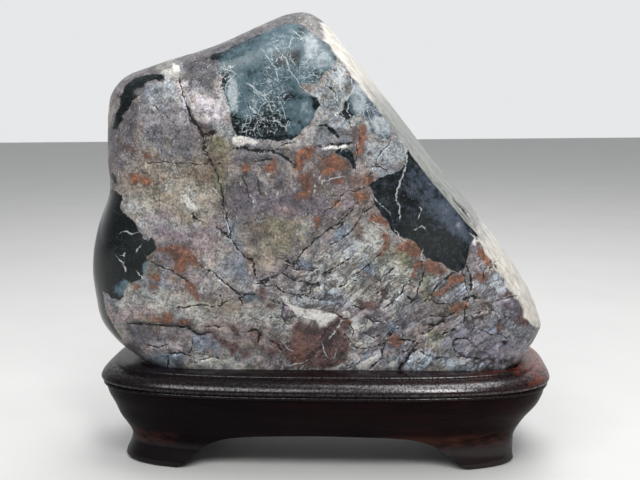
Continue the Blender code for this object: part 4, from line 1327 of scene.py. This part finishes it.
        # The chert outline also paints shade along the lower left underside.
        chert = self.step(self.mark("chert") + self.wander * 0.45, 0.3, -0.3)
        self.chert = chert * (1 - self.slope)
        wisps = self.noise(2.0 * MM, 7, 0.75, distortion=0.4, seed=22)
        # This mark also carries painted sheen, drawn here in the milk and fog colours.
        haze_and_sheen = self.mark("haze_and_sheen") + (self.mottle - 0.5) * 0.6 + (wisps - 0.5) * 1.5
        milk_and_sheen = self.mix(self.step(self.x, 12, 30), "teal milk and sheen", "blue milk and sheen")
        glass = self.mix(self.step(haze_and_sheen, 0.0, 0.55), "glass", milk_and_sheen)
        glass = self.mix(self.step(haze_and_sheen, 0.5, 1.15), glass, "fog and sheen")
        web = self.step(self.web(4 * MM, 5 * MM, seed=1), 0.05, 0.0)
        web = web * self.step(self.noise(2.5 * MM, 5, 0.75, seed=14), 0.46, 0.56)
        branch = self.step(self.web(9 * MM, 10 * MM, seed=2), 0.026, 0.0)
        branch = branch * self.step(self.noise(3 * MM, 5, 0.75, seed=15), 0.42, 0.54)
        crowd = self.step(self.mark("specks"), 0.22, 0.6) * 0.96 + 0.04
        glass = self.mix((web * 0.6 + branch * 0.8) * crowd, glass, "thread")
        colour = self.mix(self.chert, colour, glass)
        dust = self.noise(1.0 * MM, 5, 0.8, seed=18) + self.mark("specks") * 0.13
        return self.mix(self.step(dust, 0.66, 0.74) * 0.8, colour, "dust")

    def lines(self, colour):
        """White veins, and dark cracks with a pale lip in places."""
        patchy = self.step(self.noise(1.8 * MM, 4, 0.7, seed=16), 0.36, 0.62) * 1.15
        vein = self.step(self.line("vein", self.wander * 0.5, patchy), -0.14, 0.08)
        colour = self.mix(vein * 0.6, colour, "vein")
        line = self.line("crack", self.wander * 0.6, patchy)
        lip = self.step(line, -1.3, -0.4)
        lip = lip * self.step(self.noise(3 * MM, 3, 0.7, seed=23), 0.5, 0.62)
        self.crack = self.step(line, -0.2, 0.08)
        return self.mix(self.crack * 0.95, self.scale(colour, 1 + lip * 0.7), "crack")


def stone_finish(settings):
    """Polished rock: mottled ground, rust, chert with white veins, and a paler worn slope."""
    rock = VeinedRock()
    colour = rock.patches(rock.flecks(rock.ground()))
    colour = rock.worn_slope(rock.rusting(colour, settings.rust_colour))
    colour = rock.lines(rock.dark_chert(colour))

    shader = rock.shader.inputs
    rock.feed(shader["Base Color"], colour)
    dull = 0.45 + rock.step(rock.tone, 0.34, 0.70) * 0.1 + rock.rust * 0.1 + rock.crack * 0.3
    hazy = rock.step(rock.mark("haze_and_sheen"), 0.0, 0.5) * 0.14
    rock.feed(shader["Roughness"], dull + rock.chert * (hazy + settings.chert_roughness - 0.46))
    height = rock.tone * 0.8 - rock.hair * 0.15 - rock.crack * 0.4
    height = height + rock.craggy * (rock.ledges * 0.5 + rock.mottle * 0.9)
    bump = rock.add("Bump", {}, {"Strength": 1.0, "Distance": 0.3 * MM,
                                 "Height": height * (1 - rock.chert * 0.9)}, output="Normal")
    rock.feed(shader["Normal"], bump)
    rock.feed(shader["Coat Weight"], 0.12 * (1 - rock.crack) * (1 - rock.chert * 0.5))
    shader["Coat Roughness"].default_value = 0.25
    shader["Specular IOR Level"].default_value = 0.35
    return rock.material


def stand_finish(settings):
    """Carved hardwood under a dark red-brown lacquer that has been brushed on thick."""
    wood = Finish("dark lacquered wood")
    grain = wood.noise(2.2 * MM, 4, 0.6, stretch=(0.08, 1, 1), distortion=0.3)
    cloud = wood.noise(30 * MM, 3, 0.5, seed=1)
    pores = wood.noise(0.7 * MM, 2, 0.5, stretch=(0.3, 1, 1), seed=2)
    x, z = wood.along("X"), wood.along("Z")
    red = wood.step(x / 100 + (cloud - 0.5) * 1.5, -0.6, 1.2)
    dark = wood.mix(red, "black lacquer", "dark lacquer")
    warm = wood.mix(red, "brown lacquer", "red lacquer")
    colour = wood.mix(wood.step(grain, 0.35, 0.65), dark, warm)
    # A lighter brown band round the ankles, 8 to 18 mm up.
    ankle_band = wood.step(z, 8, 11) * wood.step(z, 18, 14)
    ankle_band = ankle_band * wood.step(cloud + grain * 0.5, 0.62, 0.85)
    colour = wood.mix(ankle_band * 0.8, colour, "ankle brown")
    # Painted glow of light in the lacquer, orange-red, at the right end of the rim.
    edge = wood.step(z, 38, 42) * wood.step(x, 60, 88)
    edge = edge * wood.step(cloud + grain * 0.4, 0.58, 0.80)
    colour = wood.mix(edge * 0.75, colour, "painted red glow")

    shader = wood.shader.inputs
    wood.feed(shader["Base Color"], colour)
    wood.feed(shader["Roughness"], 0.32 + wood.step(pores, 0.5, 0.7) * 0.2)
    height = wood.step(pores, 0.62, 0.50) * 0.5 + wood.noise(3 * MM, 3, 0.5, seed=3)
    wood.feed(shader["Normal"], wood.add("Bump", {}, {
        "Strength": 0.6, "Distance": 0.12 * MM, "Height": height}, output="Normal"))
    speckle = wood.step(wood.noise(0.9 * MM, 3, 0.7, seed=4), 0.38, 0.62) * 0.8 + 0.2
    shine = wood.step(z, 35.5, 37.5) * speckle + wood.step(z, 13, 7) * 0.4
    shine = shine * (wood.step(x, 0, 60) * 0.45 + 0.62)
    wood.feed(shader["Coat Weight"], shine * settings.lacquer)
    shader["Coat Roughness"].default_value = 0.22
    shader["Coat IOR"].default_value = 1.8
    shader["Specular IOR Level"].default_value = 0.04
    return wood.material


def floor_finish(settings):
    """Plain pale floor."""
    pale = Finish("pale floor")
    cloud = pale.noise(60 * MM, 3, 0.5)
    light = tuple(settings.floor_colour)
    shade = pale.mix(pale.step(cloud, 0.3, 0.7), tuple(c * 0.97 for c in light), light)
    pale.feed(pale.shader.inputs["Base Color"], shade)
    pale.shader.inputs["Roughness"].default_value = 0.6
    return pale.material


# ---------------------------------------------------------------- pieces


def as_object(name, mesh):
    """Put a bmesh into the scene as an object of its own."""
    data = bpy.data.meshes.new(name)
    mesh.to_mesh(data)
    mesh.free()
    obj = bpy.data.objects.new(name, data)
    bpy.context.scene.collection.objects.link(obj)
    return obj


def dress(obj, node, material):
    """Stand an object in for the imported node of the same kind."""
    obj.data.materials.clear()
    obj.data.materials.append(material)
    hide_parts(node)
    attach(obj, "root")


class ViewingStoneSettings(bpy.types.PropertyGroup):
    """The stone's fineness, polish and colours."""

    cell: bpy.props.FloatProperty(
        name="Cell", description="Spacing of the stone's mesh; half of it on the front",
        default=1.55 * MM, min=1 * MM, max=8 * MM, precision=5, unit="LENGTH")
    chert_roughness: bpy.props.FloatProperty(
        name="Chert roughness", description="How dull the polish on the dark chert is",
        default=0.16, min=0, max=1, subtype="FACTOR")
    rust_colour: bpy.props.FloatVectorProperty(
        name="Rust", description="Brightest colour of the iron staining",
        default=(0.36, 0.125, 0.060), size=3, min=0, max=1, subtype="COLOR")


class CarvedStandSettings(bpy.types.PropertyGroup):
    """The stand's fineness and lacquer."""

    points: bpy.props.IntProperty(
        name="Points", description="Points round the stand's plan",
        default=288, min=64, max=512)
    lacquer: bpy.props.FloatProperty(
        name="Lacquer", description="Weight of the clear lacquer over the stained wood",
        default=0.9, min=0, max=1, subtype="FACTOR")


class StudioSettings(bpy.types.PropertyGroup):
    """Floor, lights and camera."""

    floor_colour: bpy.props.FloatVectorProperty(
        name="Floor", description="Colour of the floor",
        default=(0.58, 0.58, 0.57), size=3, min=0, max=1, subtype="COLOR")
    key_power: bpy.props.FloatProperty(
        name="Key light", description="Power of the main soft light",
        default=7, min=0, unit="POWER")


class VIEWING_STONE_OT_carve_stone(bpy.types.Operator):
    """Carve the polished stone and lay its markings on it"""

    bl_idname = "viewing_stone.carve_stone"
    bl_label = "Carve Stone"

    def execute(self, context):
        settings = context.scene.viewing_stone
        mesh, marks, ground = carve_stone(settings)
        bmesh.ops.translate(mesh, verts=mesh.verts, vec=PLACE)
        stone = as_object("polished_stone", mesh)
        stone.data.shade_smooth()
        for name, values in marks.items():
            layer = stone.data.attributes.new(name, "FLOAT", "POINT")
            layer.data.foreach_set("value", values.astype(np.float32))
        layer = stone.data.attributes.new("ground", "FLOAT_COLOR", "POINT")
        colours = np.column_stack((ground, np.ones(len(ground)))).astype(np.float32)
        layer.data.foreach_set("color", colours.ravel())
        dress(stone, "stone", stone_finish(settings))
        return {"FINISHED"}


class VIEWING_STONE_OT_carve_stand(bpy.types.Operator):
    """Turn the stand's mouldings, cut its arches and lacquer it"""

    bl_idname = "viewing_stone.carve_stand"
    bl_label = "Carve Stand"

    def execute(self, context):
        settings = context.scene.carved_stand
        stand = as_object("lacquered_stand", loft(stand_rings(settings.points)))
        size = STAND_BOX[1] - STAND_BOX[0]
        cut_arch(stand, arch_bar(FRONT_ARCH, "Y", size.y))
        cut_arch(stand, arch_bar(END_ARCH, "X", size.x))
        stand.data.transform(Matrix.Translation(PLACE))
        stand.data.shade_smooth()
        stand.data.set_sharp_from_angle(angle=math.radians(40))
        dress(stand, "stand", stand_finish(settings))
        return {"FINISHED"}


class VIEWING_STONE_OT_set_studio(bpy.types.Operator):
    """Lay the floor, hang the lights and stand the camera in front"""

    bl_idname = "viewing_stone.set_studio"
    bl_label = "Set Studio"

    def execute(self, context):
        settings = context.scene.studio
        sweep = bmesh.new()
        bmesh.ops.create_grid(sweep, x_segments=4, y_segments=4, size=2.5)
        floor = as_object("floor", sweep)
        floor.data.materials.append(floor_finish(settings))
        floor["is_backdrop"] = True

        add_light("key softbox", (-0.35, -0.65, 0.85), 0.6, 0.4, settings.key_power * 0.75)
        add_light("side softbox", (0.27, -0.65, 0.85), 0.24, 0.4, settings.key_power * 0.65)
        add_light("top softbox", (0.15, 0.05, 0.9), 0.9, 0.5, settings.key_power)

        world = bpy.data.worlds.new("studio")
        world.use_nodes = True
        room = Nodes(world.node_tree)
        heading = room.add("SeparateXYZ", {}, {"Vector": room.add("TexCoord", output="Generated")},
                           output="Y")
        wall = world.node_tree.nodes["Background"].inputs
        room.feed(wall["Color"], (0.97, 0.98, 1.0, 1))
        room.feed(wall["Strength"], 0.22 + room.step(heading, -0.2, 0.7) * 0.6)
        context.scene.world = world

        forward, right, up = view_axes()
        lens = bpy.data.cameras.new("camera")
        lens.sensor_width = SENSOR
        lens.lens = SENSOR * VIEW_DISTANCE / VIEW_WIDTH
        lens.clip_start = 0.01
        camera = bpy.data.objects.new("camera", lens)
        turn = Matrix((right, up, -forward)).transposed()
        camera.matrix_world = Matrix.Translation(view_point()) @ turn.to_4x4()
        context.scene.collection.objects.link(camera)
        context.scene.camera = camera
        context.scene.view_settings.view_transform = "Standard"
        return {"FINISHED"}


def add_light(name, place, width, height, power):
    """A soft rectangular light that looks at the middle of the object."""
    lamp = bpy.data.lights.new(name, "AREA")
    lamp.shape = "RECTANGLE"
    lamp.size = width
    lamp.size_y = height
    lamp.energy = power
    obj = bpy.data.objects.new(name, lamp)
    turn = (LIGHT_AIM - Vector(place)).to_track_quat("-Z", "Y").to_matrix()
    obj.matrix_world = Matrix.Translation(place) @ turn.to_4x4()
    bpy.context.scene.collection.objects.link(obj)


class VIEWING_STONE_PT_sidebar(bpy.types.Panel):
    """Sizes, colours and the steps, in order"""

    bl_idname = "VIEWING_STONE_PT_sidebar"
    bl_label = "Viewing Stone"
    bl_space_type = "VIEW_3D"
    bl_region_type = "UI"
    bl_category = "Viewing Stone"

    def draw(self, context):
        scene = context.scene
        for group, names, operator in STEPS:
            box = self.layout.box()
            for name in names:
                box.prop(getattr(scene, group), name)
            box.operator(operator)


STEPS = [
    ("viewing_stone", ("cell", "chert_roughness", "rust_colour"), "viewing_stone.carve_stone"),
    ("carved_stand", ("points", "lacquer"), "viewing_stone.carve_stand"),
    ("studio", ("floor_colour", "key_power"), "viewing_stone.set_studio"),
]

CLASSES = [
    ViewingStoneSettings,
    CarvedStandSettings,
    StudioSettings,
    VIEWING_STONE_OT_carve_stone,
    VIEWING_STONE_OT_carve_stand,
    VIEWING_STONE_OT_set_studio,
    VIEWING_STONE_PT_sidebar,
]


def register():
    """Make the add-on's settings, operators and panel known."""
    for each in CLASSES:
        bpy.utils.register_class(each)
    bpy.types.Scene.viewing_stone = bpy.props.PointerProperty(type=ViewingStoneSettings)
    bpy.types.Scene.carved_stand = bpy.props.PointerProperty(type=CarvedStandSettings)
    bpy.types.Scene.studio = bpy.props.PointerProperty(type=StudioSettings)


def unregister():
    """Take them away again."""
    del bpy.types.Scene.studio
    del bpy.types.Scene.carved_stand
    del bpy.types.Scene.viewing_stone
    for each in reversed(CLASSES):
        bpy.utils.unregister_class(each)


def main():
    """Make every piece and the stage, then measure the bounds."""
    register()
    bpy.ops.viewing_stone.carve_stone()
    bpy.ops.viewing_stone.carve_stand()
    bpy.ops.viewing_stone.set_studio()
    for name, box in (("cad", CAD_BOX), ("visual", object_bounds())):
        [list(corner) for corner in box]


if __name__ == "__main__":
    main()
